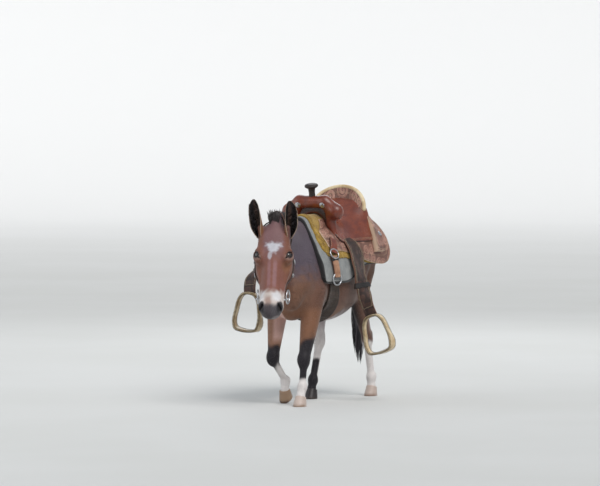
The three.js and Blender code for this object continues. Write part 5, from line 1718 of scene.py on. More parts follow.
BRIDLE_FACES = (-1.5, 3.4, 3.0, 6)
bridle, cheek_faces, bit_rings = [], [], []
for s, name in SIDES:
    normal = on_head(s, 0.1, 0.12) - on_head(0, 0, 0)
    bit_rings.append(wire_ring("bit_" + name, on_head(s * 62, 288, -107), normal, 28, 3.3))
    cheek = [on_head(s * x, y, z) for x, y, z in (
        (60, 263, -104), (70, 240, -103), (80, 204, -104), (82, 164, -104), (81, 128, -103), (79, 98, -100),
    )]
    piece, face = strap("cheek_strap_" + name, head_and_neck, cheek, 12.6, *BRIDLE_FACES)
    bridle.append(piece)
    cheek_faces.append(face)
CROWN_SIDE = (79, 97, -100), (76, 72, -93), (67, 44, -83), (56, 18, -70)
rise, fall = ([on_head(s * x, y, z) for x, y, z in CROWN_SIDE] for s in (1, -1))
crown_line = [*rise, (46, -234, 782), (23, -234, 812), (0, -238, 784), *fall[::-1]]
bridle.append(strap("crown_strap", head_and_neck, crown_line, 14.6, *BRIDLE_FACES)[0])
CHIN = (58, 304, -114), (44, 314, -118), (0, 326, -138), (-44, 314, -118), (-58, 304, -114)
bridle.append(strap("chin_leather", head_and_neck, [on_head(*p) for p in CHIN], 9.6, -1.5, 3.2, 3.0, 6)[0])
bar_line = np.array([on_head(t * 68, 308 + 5 * (1 - t * t), -88) for t in np.linspace(-1, 1, 60)])
mouth_bar = rod("bit_bar", bar_line, 4.4 + 0.3 * np.cos(np.linspace(0, 60, 60)), (0, 0, 1))

# %% Conchos of the bridle
CONCHO = [(11, 0), (11, 1.2), (10.2, 1.9), (8, 2.2), (6.6, 3.0), (3.4, 3.7), (0.5, 4.0)]


def concho(name, at, out, size):
    return turned(name, [(r * size, h * size) for r, h in CONCHO], at, out, 60, 10, 0.16)


def concho_on(name, field, near, size=1.0, level=4.8):
    """A concho at the place on a form that is nearest to a point."""
    at = settle(field, np.array([near], float), level, 8, 40)[0]
    return concho(name, at, unit(slope(field, at[None], 1.5)[0]), size)


conchos = [concho_on("cheek_concho_" + name, head_and_neck, on_head(s * 80, 128, -104)) for s, name in SIDES]
print("bridle straps", len(bridle), "conchos", len(conchos))

# %% [markdown]
# ## Node trees from a script
# Stitches, laces, cords and curls are small things in great number, so Geometry Nodes makes them: one
# tree for each kind, with its sizes as named inputs. A short helper adds a node, sets it and links it in
# one call, and the same helper builds the materials further down.

# %% Node helpers
def put(tree, kind, links=None, **settings):
    """Adds a node. links gives values, or sockets to link, by the name or number of an input."""
    made = tree.nodes.new(kind)
    for key, value in settings.items():
        setattr(made, key, value)
    for key, value in (links or {}).items():
        if isinstance(value, bpy.types.NodeSocket):
            tree.links.new(value, made.inputs[key])
        else:
            made.inputs[key].default_value = value
    return made


def new_tree(name, kind, inputs, outputs):
    tree = bpy.data.node_groups.new(name, kind)
    for direction, sockets in (("INPUT", inputs), ("OUTPUT", outputs)):
        for label, socket, *default in sockets:
            made = tree.interface.new_socket(label, in_out=direction, socket_type="NodeSocket" + socket)
            if default:
                made.default_value = default[0]
    return tree, put(tree, "NodeGroupInput").outputs, put(tree, "NodeGroupOutput")


def geometry_tree(name, *inputs):
    sockets = [("Geometry", "Geometry"), *inputs, ("Material", "Material")]
    return new_tree(name, "GeometryNodeTree", sockets, [("Geometry", "Geometry")])


def close_tree(tree, given, end, geometry):
    """Every tree ends alike: real geometry, smooth, with its material."""
    real = put(tree, "GeometryNodeRealizeInstances", {0: geometry}).outputs[0]
    smooth = put(tree, "GeometryNodeSetShadeSmooth", {0: real}).outputs[0]
    finish = put(tree, "GeometryNodeSetMaterial", {"Geometry": smooth, "Material": given["Material"]})
    tree.links.new(finish.outputs[0], end.inputs[0])


def grown(name, base, tree, **values):
    """Runs a tree on an object and keeps the result as a plain mesh."""
    modifier = base.modifiers.new("grown", "NODES")
    modifier.node_group = tree
    for item in tree.interface.items_tree:
        if item.in_out == "INPUT" and item.name in values:
            modifier[item.identifier] = values[item.name]
    graph = bpy.context.evaluated_depsgraph_get()
    mesh = bpy.data.meshes.new_from_object(base.evaluated_get(graph), depsgraph=graph)
    mesh.name = name
    base.modifiers.remove(modifier)
    print(name, len(mesh.polygons), "faces")
    return new_object(name, mesh)


def lines_object(lines):
    """A mesh of bare edges along lines, for a tree to follow."""
    points = np.concatenate(lines)
    edges, start = [], 0
    for line in lines:
        edges += [(start + i, start + i + 1) for i in range(len(line) - 1)]
        start += len(line)
    mesh = bpy.data.meshes.new("paths")
    mesh.from_pydata(to_row(points).tolist(), edges, [])
    return new_object("paths", mesh)


def along_lines(name, lines, tree, **values):
    base = lines_object(lines)
    made = grown(name, base, tree, **values)
    bpy.data.objects.remove(base)
    return made

# %% Trees for stitches, cords and curls
STITCHES, given, end = geometry_tree(
    "stitch row", ("Spacing", "Float", 0.005), ("Length", "Float", 0.0034), ("Thickness", "Float", 0.0011)
)
curve = put(STITCHES, "GeometryNodeMeshToCurve", {0: given["Geometry"]})
row = put(
    STITCHES, "GeometryNodeResampleCurve",
    {"Curve": curve.outputs[0], "Length": given["Spacing"]}, mode="LENGTH",
)
heading = put(STITCHES, "GeometryNodeInputTangent")
facing = put(STITCHES, "FunctionNodeAlignRotationToVector", {"Vector": heading.outputs[0]}, axis="X")
bead = put(STITCHES, "GeometryNodeMeshUVSphere", {"Segments": 6, "Rings": 5, "Radius": 0.5})
thick = given["Thickness"]
size = put(STITCHES, "ShaderNodeCombineXYZ", {0: given["Length"], 1: thick, 2: thick})
beads = put(STITCHES, "GeometryNodeInstanceOnPoints", {
    "Points": row.outputs[0], "Instance": bead.outputs[0],
    "Rotation": facing.outputs[0], "Scale": size.outputs[0],
})
close_tree(STITCHES, given, end, beads.outputs[0])

CORDS, given, end = geometry_tree("cord", ("Radius", "Float", 0.002), ("Sides", "Int", 6))
curve = put(CORDS, "GeometryNodeMeshToCurve", {0: given["Geometry"]})
section = put(
    CORDS, "GeometryNodeCurvePrimitiveCircle", {"Resolution": given["Sides"], "Radius": given["Radius"]}
)
body = put(
    CORDS, "GeometryNodeCurveToMesh",
    {"Curve": curve.outputs[0], "Profile Curve": section.outputs[0], "Fill Caps": True},
)
close_tree(CORDS, given, end, body.outputs[0])

CURLS, given, end = geometry_tree(
    "curls near an edge", ("Density", "Float", 90000.0), ("Size", "Float", 0.005), ("Reach", "Float", 0.03)
)
edge = put(CURLS, "GeometryNodeInputNamedAttribute", {"Name": "edge"}, data_type="FLOAT")
near = put(
    CURLS, "FunctionNodeCompare", {0: edge.outputs[0], 1: given["Reach"]},
    data_type="FLOAT", operation="LESS_THAN",
)
spots = put(CURLS, "GeometryNodeDistributePointsOnFaces", {
    "Mesh": given["Geometry"], "Selection": near.outputs[0], "Density": given["Density"], "Seed": 4,
})
knot = put(CURLS, "GeometryNodeMeshIcoSphere", {"Radius": 0.5, "Subdivisions": 1})
spread = put(CURLS, "FunctionNodeRandomValue", {2: 0.6, 3: 1.25, "Seed": 3}, data_type="FLOAT")
wide = put(CURLS, "ShaderNodeMath", {0: given["Size"], 1: spread.outputs[1]}, operation="MULTIPLY")
curls = put(CURLS, "GeometryNodeInstanceOnPoints", {
    "Points": spots.outputs[0], "Instance": knot.outputs[0],
    "Rotation": spots.outputs["Rotation"], "Scale": wide.outputs[0],
})
close_tree(CURLS, given, end, curls.outputs[0])

# %% [markdown]
# ## Stitches, laces and cords
# Every row of stitches follows an edge of its leather at a fixed inset, so a path in the flap's own two
# directions is enough; the tree then beads it with thread. Lace winds round the rim of the rawhide as a
# spiral, and the cinch is a web of separate cords that part round the chest.

# %% Rows of stitches
def edge_line(face, size, corners, level, count=160):
    """A path over a flap.

    Corners are in millimetres from its start, or from its end where they are negative.
    """
    uv = np.array([[c / s + (c < 0) for c, s in zip(corner, size)] for corner in corners])
    run = np.concatenate([[0], np.cumsum(np.linalg.norm(np.diff(uv, axis=0) * size, axis=1))])
    t = np.linspace(0, run[-1], count)
    u, v = (np.interp(t, run, uv[:, k])[:, None] for k in (0, 1))
    high = level(u, v) if callable(level) else level + 0 * u
    return face(u, v, high)[:, 0]


def stitched(name, rows, slot_name):
    threads.append((along_lines("thread_" + name, rows, STITCHES), slot_name))


threads = []
flap_rows = ((skirts, SKIRT_SIZE, 22.7, (7, 32)), (jockeys, JOCKEY_SIZE, jockey_top, (7,)))
for pieces, size, level, insets in flap_rows:
    for made, face in pieces:
        starts = [(d, 30 if d < 10 else 60) for d in insets]
        seams = [edge_line(face, size, [(d, a), (d, -d), (-d, -d), (-d, a)], level) for d, a in starts]
        stitched(made.name, seams, "tan_leather")
seat_rows = [
    edge_line(seat_face, SEAT_SIZE, [(8, 150), (8, d), (-8, d), (-8, 150)], seat_top) for d in (7, 11)
]
stitched("seat", seat_rows + [p * (-1, 1, 1) for p in seat_rows], "red_leather")
for made, face in fenders:
    seams = [
        edge_line(face, FENDER_SIZE, [(6, d), (-40, d), (-40, -d), (6, -d), (6, d)], level)
        for d in (6, 9.5) for level in (-3.35, 3.35)
    ]
    stitched(made.name, seams, "brown_leather")
seams = [
    edge_line(cantle_face, CANTLE_SIZE, [(-d, 8), (-d, -8)], level)
    for d in (14, 17)
    for level in (-6.8, 6.8)
]
stitched("cantle", seams, "tan_leather")
for made, face in riggings:
    stitched(made.name, [edge_line(face, (60, 40), [(3, d), (-3, d)], 31.7) for d in (4, -4)], "red_leather")

# %% Lace and cinch
def rim_lace(path, tread, turns=84, steps=12):
    """A lace that whips over both rims of a stirrup."""
    count = turns * steps
    index = np.arange(count) * len(path) / count
    whole = np.column_stack([path, tread])
    whole = np.concatenate([whole, whole[:1]])
    at = np.stack([np.interp(index, np.arange(len(whole)), column) for column in whole.T], 1)
    at, wide = at[:, :3], at[:, 3:] * 0.485
    tangent = unit(np.roll(at, -1, 0) - np.roll(at, 1, 0))
    axis = np.array([0, 1.0, 0])
    normal = unit(np.cross(axis, tangent))
    turn = 2 * np.pi * np.arange(count)[:, None] / steps
    return [at + s * axis * (wide - 2.8 + 3.4 * np.cos(turn)) + normal * 5.3 * np.sin(turn) for s in (1, -1)]


laces = [
    along_lines("lace_" + hanger["name"], rim_lace(path, tread), CORDS, Radius=0.001)
    for hanger, path in zip(HANGERS, stirrup_lines)
]
CINCH_CORDS, CINCH_BARS = 17, (0.16, 0.36, 0.5, 0.64, 0.84)


def on_cinch(u, v, level):
    """u runs from the left ring to the right one, v across the band from 0 to 1."""
    degrees = mix(108, 252, u)
    spread = mix(34, 92, np.sin(np.pi * np.clip(u, 0, 1)) ** 0.6)
    y = 64 + 34 * np.sin(np.pi * np.clip((degrees - 100) / 160, 0, 1))
    return over(y + (v - 0.5) * spread, degrees, level, torso_form)


u = np.linspace(0, 1, 60)
cinch_lines = [on_cinch(u, k / (CINCH_CORDS - 1), 4.6 + 0.5 * (k % 2)) for k in range(CINCH_CORDS)]
weave = [5.0 + 1.9 * np.sin(u * (CINCH_CORDS - 1) * np.pi + phase) for phase in (0, np.pi)]
cinch_bars = [on_cinch(b, mix(-0.01, 1.01, u), level) for b in CINCH_BARS for level in weave]
cinch = along_lines("cinch_cords", cinch_lines, CORDS, Radius=0.0026, Sides=8)
cinch_weave = along_lines("cinch_weave", cinch_bars, CORDS, Radius=0.0019, Sides=6)
curls = grown("fleece_curls", fleece, CURLS, Density=42000.0, Size=0.0055, Reach=0.026)

# %% [markdown]
# ## Buckles and conchos
# A buckle is a bent wire frame with a tongue across it. Conchos are turned, with a scalloped rim. Each
# takes its place and its turn from the leather that it sits on.

# %% Buckles, ties and conchos
def spot(face, u, v, level):
    """Centre, way along, way across and way out at a place on a flap."""
    def at(a, b, c):
        return face(np.array([[a]]), np.array([[b]]), np.array([[c]]))[0, 0]

    centre = at(u, v, level)
    ways = at(u + 0.02, v, level), at(u, v + 0.05, level), at(u, v, level + 1.0)
    return centre, *(unit(way - centre) for way in ways)


def joined(name, pieces):
    """One object of several."""
    points, faces = gathered(piece.data for piece in pieces)
    for piece in pieces:
        bpy.data.objects.remove(piece)
    return mesh_object(name, np.array(points) * 1000 + CENTRE, faces)


def buckle(name, centre, way, across, out, long, wide, wire):
    a, b = long / 2, wide / 2
    quarter = [(-a, -b * 0.6), (-a, b * 0.6), (-a * 0.7, b), (a * 0.7, b)]
    ring = ring_line([centre + way * x * f + across * y * f for f in (1, -1) for x, y in quarter], 64)
    wire_frame = loop(name + "_frame", ring, out, 2 * wire, 2 * wire, 10)
    cross_bar = rod(name + "_bar", [centre + across * t * b for t in np.linspace(-1, 1, 9)], wire * 0.8, way)
    line = [centre + way * t * a + out * wire * (0.6 + 0.8 * max(0, t)) for t in np.linspace(0, 1.06, 9)]
    tongue = rod(name + "_tongue", line, wire * np.linspace(0.75, 0.5, 9), across)
    return joined(name, [wire_frame, cross_bar, tongue])


hardware, ties = [], []
for (s, name), (piece, face) in zip(SIDES, hobbles):
    hardware.append(buckle("hobble_buckle_" + name, *spot(face, 0.5, 0.62, 9.4 * s), 22, 19, 1.4))
for (s, name), face in zip(SIDES, cheek_faces):
    hardware.append(buckle("cheek_buckle_" + name, *spot(face, 0.45, 0.5, 4.6), 13, 15, 1.1))
for (s, name), (piece, face) in zip(SIDES, jockeys):
    hardware.append(concho_on("fork_concho_" + name, fork_form, (s * 56, 118, 828), 1.2, 0.2))
    centre, way, across, out = spot(face, 0.62, 0.66, 29.4)
    hardware.append(concho("jockey_concho_" + name, centre, out, 1.3))
for s, name in SIDES:
    tie_line = [over(y, s * a, 27) for y, a in ((43, 73), (63, 72), (83, 73))]
    ties.append(strap("latigo_tie_" + name, bed_form, tie_line, *TIE)[0])
print("threads", len(threads), "hardware", len(hardware))

# %% [markdown]
# ## Materials
# Each finish is a small tree of noise and masks on the shader's own settings. What several finishes share
# is built once as a group: the grain of leather, the rubbing along an edge, the strands of a coat. The
# colours of the coat come from the marking attribute, so the hide and the tufts agree.

# %% Shader helpers
def calc(tree, operation, a, b=0.0, clamp=False):
    return put(tree, "ShaderNodeMath", {0: a, 1: b}, operation=operation, use_clamp=clamp).outputs[0]


def fade(tree, value, start, stop):
    """A smooth step of a value from 0 at start to 1 at stop."""
    settings = {0: value, 1: start, 2: stop}
    return put(tree, "ShaderNodeMapRange", settings, interpolation_type="SMOOTHSTEP").outputs[0]


def ranged(tree, value, low, high, start=0.3, stop=0.7):
    """A value from start to stop, spread evenly from low to high."""
    return put(tree, "ShaderNodeMapRange", {0: value, 1: start, 2: stop, 3: low, 4: high}).outputs[0]


def colour_mix(tree, share, a, b, how="MIX"):
    made = put(tree, "ShaderNodeMix", data_type="RGBA", blend_type=how)
    for number, value in ((0, share), (6, a), (7, b)):
        if isinstance(value, bpy.types.NodeSocket):
            tree.links.new(value, made.inputs[number])
        else:
            made.inputs[number].default_value = value if number == 0 else (*value, 1)
    return made.outputs[2]


def noise(tree, vector, scale, detail=3.0, rough=0.55):
    settings = {"Vector": vector, "Scale": scale, "Detail": detail, "Roughness": rough}
    return put(tree, "ShaderNodeTexNoise", settings).outputs[0]


def stretched(tree, vector, scale):
    return put(tree, "ShaderNodeMapping", {"Vector": vector, "Scale": scale}).outputs[0]


def attribute(tree, name, output="Fac"):
    return put(tree, "ShaderNodeAttribute", attribute_name=name).outputs[output]


def tinted(tree, light):
    """The colour of the marking, lighter or darker by a factor."""
    grey = put(tree, "ShaderNodeCombineColor", {0: light, 1: light, 2: light}).outputs[0]
    return colour_mix(tree, 1.0, attribute(tree, "marking", "Color"), grey, "MULTIPLY")

# %% Shader groups
HEIGHT, VECTOR, SCALE = ("Height", "Float"), ("Vector", "Vector"), ("Scale", "Float", 500.0)


def shader_group(name, inputs, outputs):
    return new_tree(name, "ShaderNodeTree", inputs, outputs)


def send(tree, end, **values):
    """Links values to the outputs of a group."""
    for key, value in values.items():
        tree.links.new(value, end.inputs[key])


GRAIN, given, end = shader_group("leather grain", [VECTOR, SCALE], [HEIGHT, ("Shade", "Float")])
cells = put(
    GRAIN, "ShaderNodeTexVoronoi",
    {"Vector": given["Vector"], "Scale": given["Scale"]}, feature="DISTANCE_TO_EDGE",
)
creases = fade(GRAIN, cells.outputs["Distance"], 0.0, 0.16)
pores = noise(GRAIN, given["Vector"], 2600.0, 1.0)
cloud = noise(GRAIN, given["Vector"], 26.0, 4.0, 0.6)
send(
    GRAIN, end,
    Height=calc(GRAIN, "ADD", creases, calc(GRAIN, "MULTIPLY", pores, 0.35)),
    Shade=calc(GRAIN, "ADD", cloud, calc(GRAIN, "MULTIPLY", creases, 0.08)),
)

WEAR, given, end = shader_group("rubbed edge", [VECTOR, ("Width", "Float", 0.006)], [("Mask", "Float")])
uneven = calc(WEAR, "ADD", noise(WEAR, given["Vector"], 90.0), 0.35)
near = calc(WEAR, "DIVIDE", attribute(WEAR, "edge"), calc(WEAR, "MULTIPLY", given["Width"], uneven))
send(WEAR, end, Mask=calc(WEAR, "SUBTRACT", 1.0, near, clamp=True))

# Strands run back over the barrel, and down where the attribute drop is 1.
STRANDS, given, end = shader_group("strands of a coat", [VECTOR, SCALE], [HEIGHT, ("Shade", "Float")])
back, down = (
    noise(STRANDS, stretched(STRANDS, given["Vector"], shape), given["Scale"], 2.0, 0.6)
    for shape in ((1.0, 0.13, 0.8), (1.0, 0.9, 0.12))
)
mixed = {0: attribute(STRANDS, "drop"), 2: back, 3: down}
height = put(STRANDS, "ShaderNodeMix", mixed, data_type="FLOAT").outputs[0]
patches = noise(STRANDS, given["Vector"], 34.0, 4.0, 0.6)
halves = [calc(STRANDS, "MULTIPLY", value, 0.5) for value in (height, patches)]
send(STRANDS, end, Height=height, Shade=calc(STRANDS, "ADD", *halves))

# Scrolls cut into leather: round every point of a scattered set the cut winds outwards as a spiral.
SCROLLS, given, end = shader_group("tooled scrolls", [("Size", "Float", 0.03)], [HEIGHT, ("Cut", "Float")])
flat_map = put(SCROLLS, "ShaderNodeUVMap", uv_map="lay").outputs[0]
cells = put(SCROLLS, "ShaderNodeTexVoronoi", {
    "Vector": flat_map, "Scale": calc(SCROLLS, "DIVIDE", 1.0, given["Size"]), "Randomness": 0.55,
}, voronoi_dimensions="2D")
ends = {0: flat_map, 1: cells.outputs["Position"]}
offset = put(SCROLLS, "ShaderNodeVectorMath", ends, operation="SUBTRACT").outputs[0]
parts = put(SCROLLS, "ShaderNodeSeparateXYZ", {0: offset}).outputs
angle = calc(SCROLLS, "ARCTAN2", parts[1], parts[0])
far = put(SCROLLS, "ShaderNodeVectorMath", {0: offset}, operation="LENGTH").outputs["Value"]
far = calc(SCROLLS, "DIVIDE", far, given["Size"])
spiral = calc(SCROLLS, "SINE", calc(SCROLLS, "ADD", angle, calc(SCROLLS, "MULTIPLY", far, 24.0)))
ground = fade(SCROLLS, far, 0.42, 0.5)
dots = put(SCROLLS, "ShaderNodeTexVoronoi", {"Vector": flat_map, "Scale": 620.0}, voronoi_dimensions="2D")
stipple = calc(SCROLLS, "MULTIPLY", calc(SCROLLS, "MULTIPLY", dots.outputs["Distance"], ground), 0.5)
inside = calc(SCROLLS, "SUBTRACT", 1.0, ground)
raised = calc(SCROLLS, "MULTIPLY", fade(SCROLLS, spiral, -0.95, -0.35), inside)
send(
    SCROLLS, end,
    Height=calc(SCROLLS, "ADD", raised, stipple),
    Cut=calc(SCROLLS, "SUBTRACT", 1.0, raised),
)
print("shader groups", [g.name for g in bpy.data.node_groups])

# %% Makers of finishes
def material(name, roughness=0.6, metallic=0.0):
    """A new material, its tree, its shader and the object's own coordinates."""
    made = bpy.data.materials.new(name)
    made.use_nodes = True
    shader = made.node_tree.nodes["Principled BSDF"]
    settle_shader(shader, Roughness=roughness, Metallic=metallic)
    return made, made.node_tree, shader, put(made.node_tree, "ShaderNodeTexCoord").outputs["Object"]


def settle_shader(shader, **constants):
    """Sets plain numbers on a shader. An underscore stands for a space."""
    for key, value in constants.items():
        shader.inputs[key.replace("_", " ")].default_value = value


def dress(tree, shader, colour, height=None, strength=0.3, deep=0.001, rough=None):
    """Links what varies over a surface to its shader."""
    tree.links.new(colour, shader.inputs["Base Color"])
    if height is not None:
        bump = put(tree, "ShaderNodeBump", {"Height": height, "Strength": strength, "Distance": deep})
        tree.links.new(bump.outputs[0], shader.inputs["Normal"])
    if rough is not None:
        tree.links.new(rough, shader.inputs["Roughness"])


def hair_finish(name, roughness, contrast, strength):
    """Locks: every lock has a patch of its own on the map, so fine streaks run from its root to its tip."""
    made, tree, shader, place = material(name, roughness)
    patch = put(tree, "ShaderNodeUVMap", uv_map="OFBake").outputs[0]
    streak = noise(tree, stretched(tree, patch, (4000, 300, 1)), 1.0, 2.0)
    dye = tinted(tree, ranged(tree, streak, 1 - contrast, 1 + contrast))
    dress(tree, shader, dye, streak, strength, 0.0004)
    settle_shader(shader, Sheen_Weight=0.15)
    return made


def leather(
    name, colour, dark, rough=0.5, grain=520.0, deep=0.0003,
    edge=None, edge_width=0.006, tooled=None, coat=0.0,
):
    """Light and deep tones of a leather, and the colour of its edge where it is rubbed or dyed.

    tooled is the size of the scrolls that are cut into it, and coat how much polish lies on it.
    """
    made, tree, shader, place = material(name, rough)
    dark = tone(*dark)
    texture = put(tree, "ShaderNodeGroup", {"Vector": place, "Scale": grain}, node_tree=GRAIN).outputs
    dye = colour_mix(tree, fade(tree, texture["Shade"], 0.38, 0.68), dark, tone(*colour))
    height, strength = texture["Height"], 0.35
    if tooled:
        scroll = put(tree, "ShaderNodeGroup", {"Size": tooled}, node_tree=SCROLLS).outputs
        dye = colour_mix(tree, calc(tree, "MULTIPLY", scroll["Cut"], 0.8), dye, dark * 0.45)
        height = calc(tree, "ADD", calc(tree, "MULTIPLY", scroll["Height"], 3.0), height)
        strength = 0.7
    if edge:
        rub = put(tree, "ShaderNodeGroup", {"Vector": place, "Width": edge_width}, node_tree=WEAR)
        dye = colour_mix(tree, rub.outputs["Mask"], dye, tone(*edge))
    shine = ranged(tree, texture["Shade"], rough + 0.1, rough - 0.08)
    dress(tree, shader, dye, height, strength, deep, shine)
    settle_shader(shader, Coat_Weight=coat, Coat_Roughness=0.25)
    return made


def soft_finish(name, colour, dark, scale, strength, deep, binding=None):
    """Felt, fleece and cord: a matt, fuzzy surface with fine fibres."""
    made, tree, shader, place = material(name, 0.92)
    fibre = noise(tree, place, scale, 4.0, 0.7)
    cloudy = calc(tree, "ADD", fibre, calc(tree, "MULTIPLY", noise(tree, place, 30.0), 0.5))
    dye = colour_mix(tree, fade(tree, cloudy, 0.55, 0.95), tone(*dark), tone(*colour))
    if binding:
        line, half = PAD_BINDING * 0.001, 0.0002
        bound = fade(tree, attribute(tree, "edge"), line + half, line - half)
        dye = colour_mix(tree, bound, dye, tone(*binding))
    dress(tree, shader, dye, fibre, strength, deep)
    settle_shader(shader, Sheen_Weight=0.3)
    return made

# %% Hide, hair, horn, eyes and steel
hide, tree, shader, place = material("hide", 0.62)
strand = put(tree, "ShaderNodeGroup", {"Vector": place, "Scale": 900.0}, node_tree=STRANDS).outputs
dress(tree, shader, tinted(tree, ranged(tree, strand["Shade"], 0.84, 1.16)), strand["Height"], 0.4, 0.0005)
settle_shader(shader, Sheen_Weight=0.2, Sheen_Roughness=0.4, Specular_IOR_Level=0.35)

coat_hair = hair_finish("coat hair", 0.6, 0.15, 0.0)
long_hair = hair_finish("mane and tail hair", 0.42, 0.4, 0.5)

horn_wall, tree, shader, place = material("hoof horn", 0.45)
waves = {"Vector": place, "Scale": 90.0, "Distortion": 2.5, "Detail": 2.0}
growth = put(tree, "ShaderNodeTexWave", waves, bands_direction="Z").outputs["Fac"]
growth = calc(tree, "ADD", growth, noise(tree, stretched(tree, place, (1, 1, 0.08)), 700.0))
dress(tree, shader, tinted(tree, ranged(tree, growth, 0.72, 1.2, 0.5, 1.6)), growth, 0.3, 0.0005)

eye_glass, tree, shader, place = material("eye", 0.07)
speck = fade(tree, noise(tree, place, 900.0), 0.4, 0.7)
dress(tree, shader, colour_mix(tree, speck, attribute(tree, "marking", "Color"), tone(18, 12, 10)))
settle_shader(shader, Coat_Weight=1.0, Coat_Roughness=0.03)

steel, tree, shader, place = material("worn steel", 0.3, 1.0)
scratch = noise(tree, stretched(tree, place, (1, 1, 0.15)), 1400.0)
cloud = noise(tree, place, 60.0)
metal = colour_mix(tree, fade(tree, cloud, 0.35, 0.75), tone(176, 176, 178), tone(214, 216, 220))
dress(tree, shader, metal, scratch, 0.15, 0.0001, ranged(tree, cloud, 0.22, 0.42))

# %% Leathers and textiles
felt = soft_finish("grey felt", (150, 152, 150), (112, 114, 116), 900.0, 0.5, 0.0008, (24, 22, 24))
wool = soft_finish("mustard fleece", (190, 156, 66), (118, 88, 30), 420.0, 0.6, 0.0012)
mohair = soft_finish("mohair cord", (72, 56, 46), (34, 26, 22), 700.0, 0.5, 0.0006)
cream_thread = soft_finish("waxed thread", (222, 206, 172), (176, 154, 116), 2500.0, 0.3, 0.0002)
red_leather = leather(
    "oiled red leather", (122, 56, 34), (98, 40, 26), 0.34, 420.0, 0.0002, (46, 20, 14), 0.003, coat=0.35
)
tan_leather = leather(
    "tooled tan leather", (184, 140, 124), (142, 98, 84), 0.5, 520.0, 0.0004, (214, 186, 160), 0.004, 0.046
)
fender_leather = leather(
    "fender leather", (86, 56, 46), (52, 34, 30), 0.46, 480.0, 0.0004, (126, 86, 66), 0.004, 0.03
)
plain_tan = leather("latigo leather", (176, 132, 104), (140, 98, 74), edge=(92, 62, 50), edge_width=0.0016)
strap_leather = leather(
    "bridle leather", (98, 58, 44), (52, 30, 26), 0.42, 600.0, 0.0002, (30, 18, 16), 0.0016
)
black_leather = leather("black leather", (40, 36, 36), (20, 18, 19), 0.4, 560.0, 0.0003, (70, 62, 58), 0.002)
wrap_leather = leather("wrapped horn leather", (58, 42, 36), (30, 22, 20), 0.5, 420.0, 0.0004)
rawhide = leather("rawhide", (226, 208, 172), (188, 160, 118), 0.4, 300.0)
dark_lace = leather("dark lace", (44, 32, 28), (24, 18, 16), 0.5, 700.0, 0.0002)
print("finishes", len(bpy.data.materials))

# %% [markdown]
# ## Riding on the frame
# The model has one body, so every piece rides on it. A piece that stands for a solid names it, and that
# solid is hidden.

# %% Riding
def wear(piece, finish, slot_name, *nodes):
    """Gives a piece its finish and its body, and hides the solids that it replaces. slot_name is not used."""
    piece.data.materials.clear()
    piece.data.materials.append(finish)
    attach(piece, "root")
    if nodes:
        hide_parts(*nodes)


wear(skin, hide, "coat", *(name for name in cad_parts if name.startswith(FLESH)))
for piece in (*coats, ear_fuzz):
    wear(piece, coat_hair, "coat")
for piece in (mane, poll_tuft, dock):
    wear(piece, long_hair, "black_hair")
wear(tail, long_hair, "black_hair", "tail")
for piece in hooves:
    wear(piece, horn_wall, "hoof", piece.name.replace("horn_", "hoof_"))
for piece in eyes:
    wear(piece, eye_glass, "eye", piece.name.replace("eyeball_", "eye_"))

wear(pad, felt, "felt", "saddle_pad")
wear(fleece, wool, "fleece", "fleece")
wear(curls, wool, "fleece")
wear(seat, red_leather, "red_leather", "seat")
wear(fork, red_leather, "red_leather", "fork")
wear(horn, wrap_leather, "brown_leather", "horn")
wear(cantle, tan_leather, "tan_leather", "cantle")
wear(cantle_binding, rawhide, "rawhide")
wear(cinch, mohair, "mohair", "cinch")
wear(cinch_weave, mohair, "mohair")
wear(mouth_bar, steel, "steel", "mouthpiece")
for k, (s, name) in enumerate(SIDES):
    wear(skirts[k][0], tan_leather, "tan_leather", "skirt_" + name)
    wear(jockeys[k][0], tan_leather, "tan_leather", "rear_jockey_" + name)
    wear(fenders[k][0], fender_leather, "brown_leather", "fender_" + name)
    wear(hobbles[k][0], black_leather, "black_leather", "hobble_" + name)
    wear(stirrups[k], rawhide, "rawhide", "stirrup_" + name)
    wear(laces[k], dark_lace, "rawhide")
    wear(riggings[k][0], red_leather, "red_leather", "rigging_" + name)
    wear(latigos[k], plain_tan, "tan_leather", "latigo_" + name)
    wear(ties[k], black_leather, "black_leather")
    wear(rings[2 * k], steel, "steel", "rigging_dee_" + name)
    wear(rings[2 * k + 1], steel, "steel", "cinch_ring_" + name)
    wear(bit_rings[k], steel, "steel", "bit_ring_" + name)
    wear(conchos[k], steel, "steel", "bridle_concho_" + name)
for piece, node in zip(bridle, ("cheekpiece_left", "cheekpiece_right", "crown", "chin_strap")):
    wear(piece, strap_leather, "brown_leather", node)
for piece, slot_name in threads:
    wear(piece, cream_thread, slot_name)
for piece in hardware:
    wear(piece, steel, "steel")
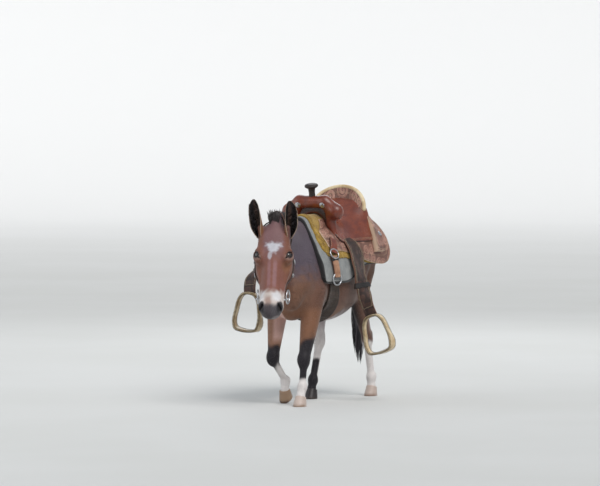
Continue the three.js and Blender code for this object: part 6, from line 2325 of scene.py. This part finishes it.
# Pieces without an edge of their own aren't rubbed anywhere.
for piece in (fork, horn, cantle_binding, *stirrups, *laces, *hardware):
    keep_value(piece, "edge", np.ones(len(piece.data.vertices)))

# %% [markdown]
# ## Studio floor
# The floor is the bottom of a wide bowl whose wall rises far behind the animal in one smooth curve, so
# the view has no horizon. It's a profile turned round the upright axis, and isn't part of the model.

# %% Floor
BOWL_RADIUS, BOWL_CURVE, BOWL_HEIGHT, BOWL_SIDES = 22.0, 6.0, 12.0, 96
bends = [(math.sin(a), 1 - math.cos(a)) for a in np.linspace(0.1, np.pi / 2, 16)]
bowl = [(r, 0) for r in (0.05, 4, 10, 16, BOWL_RADIUS)]
bowl += [(BOWL_RADIUS + BOWL_CURVE * out, BOWL_CURVE * up) for out, up in bends]
bowl.append((BOWL_RADIUS + BOWL_CURVE, BOWL_HEIGHT))
turns = [(math.cos(a), math.sin(a)) for a in np.arange(BOWL_SIDES) * 2 * np.pi / BOWL_SIDES]
corners = [(r * c, r * s, h) for r, h in bowl for c, s in turns]
faces = [quad[::-1] for quad in grid_faces(len(bowl), BOWL_SIDES)]
floor_mesh = bpy.data.meshes.new("studio_floor")
floor_mesh.from_pydata(corners, [], [list(range(BOWL_SIDES)), *faces])
floor_mesh.polygons.foreach_set("use_smooth", [True] * len(floor_mesh.polygons))
floor = new_object("studio_floor", floor_mesh)
pale, tree, shader, place = material("pale floor", 0.9)
cloud = fade(tree, noise(tree, place, 0.6), 0.3, 0.7)
near = colour_mix(tree, cloud, (0.60, 0.60, 0.585), (0.63, 0.63, 0.62))
far = put(tree, "ShaderNodeVectorMath", {0: place}, operation="LENGTH").outputs["Value"]
far = fade(tree, far, 8.0, BOWL_RADIUS + BOWL_CURVE)
dress(tree, shader, colour_mix(tree, far, near, (0.8, 0.8, 0.8)))
floor_mesh.materials.append(pale)
floor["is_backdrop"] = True
print("floor", len(floor_mesh.polygons), "faces")

# %% Sizes and finish
lo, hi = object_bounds()
sizes = {"cad": [list(cad_box[0]), list(cad_box[1])], "visual": [list(lo), list(hi)]}
print({key: [[round(x, 4) for x in corner] for corner in value] for key, value in sizes.items()})
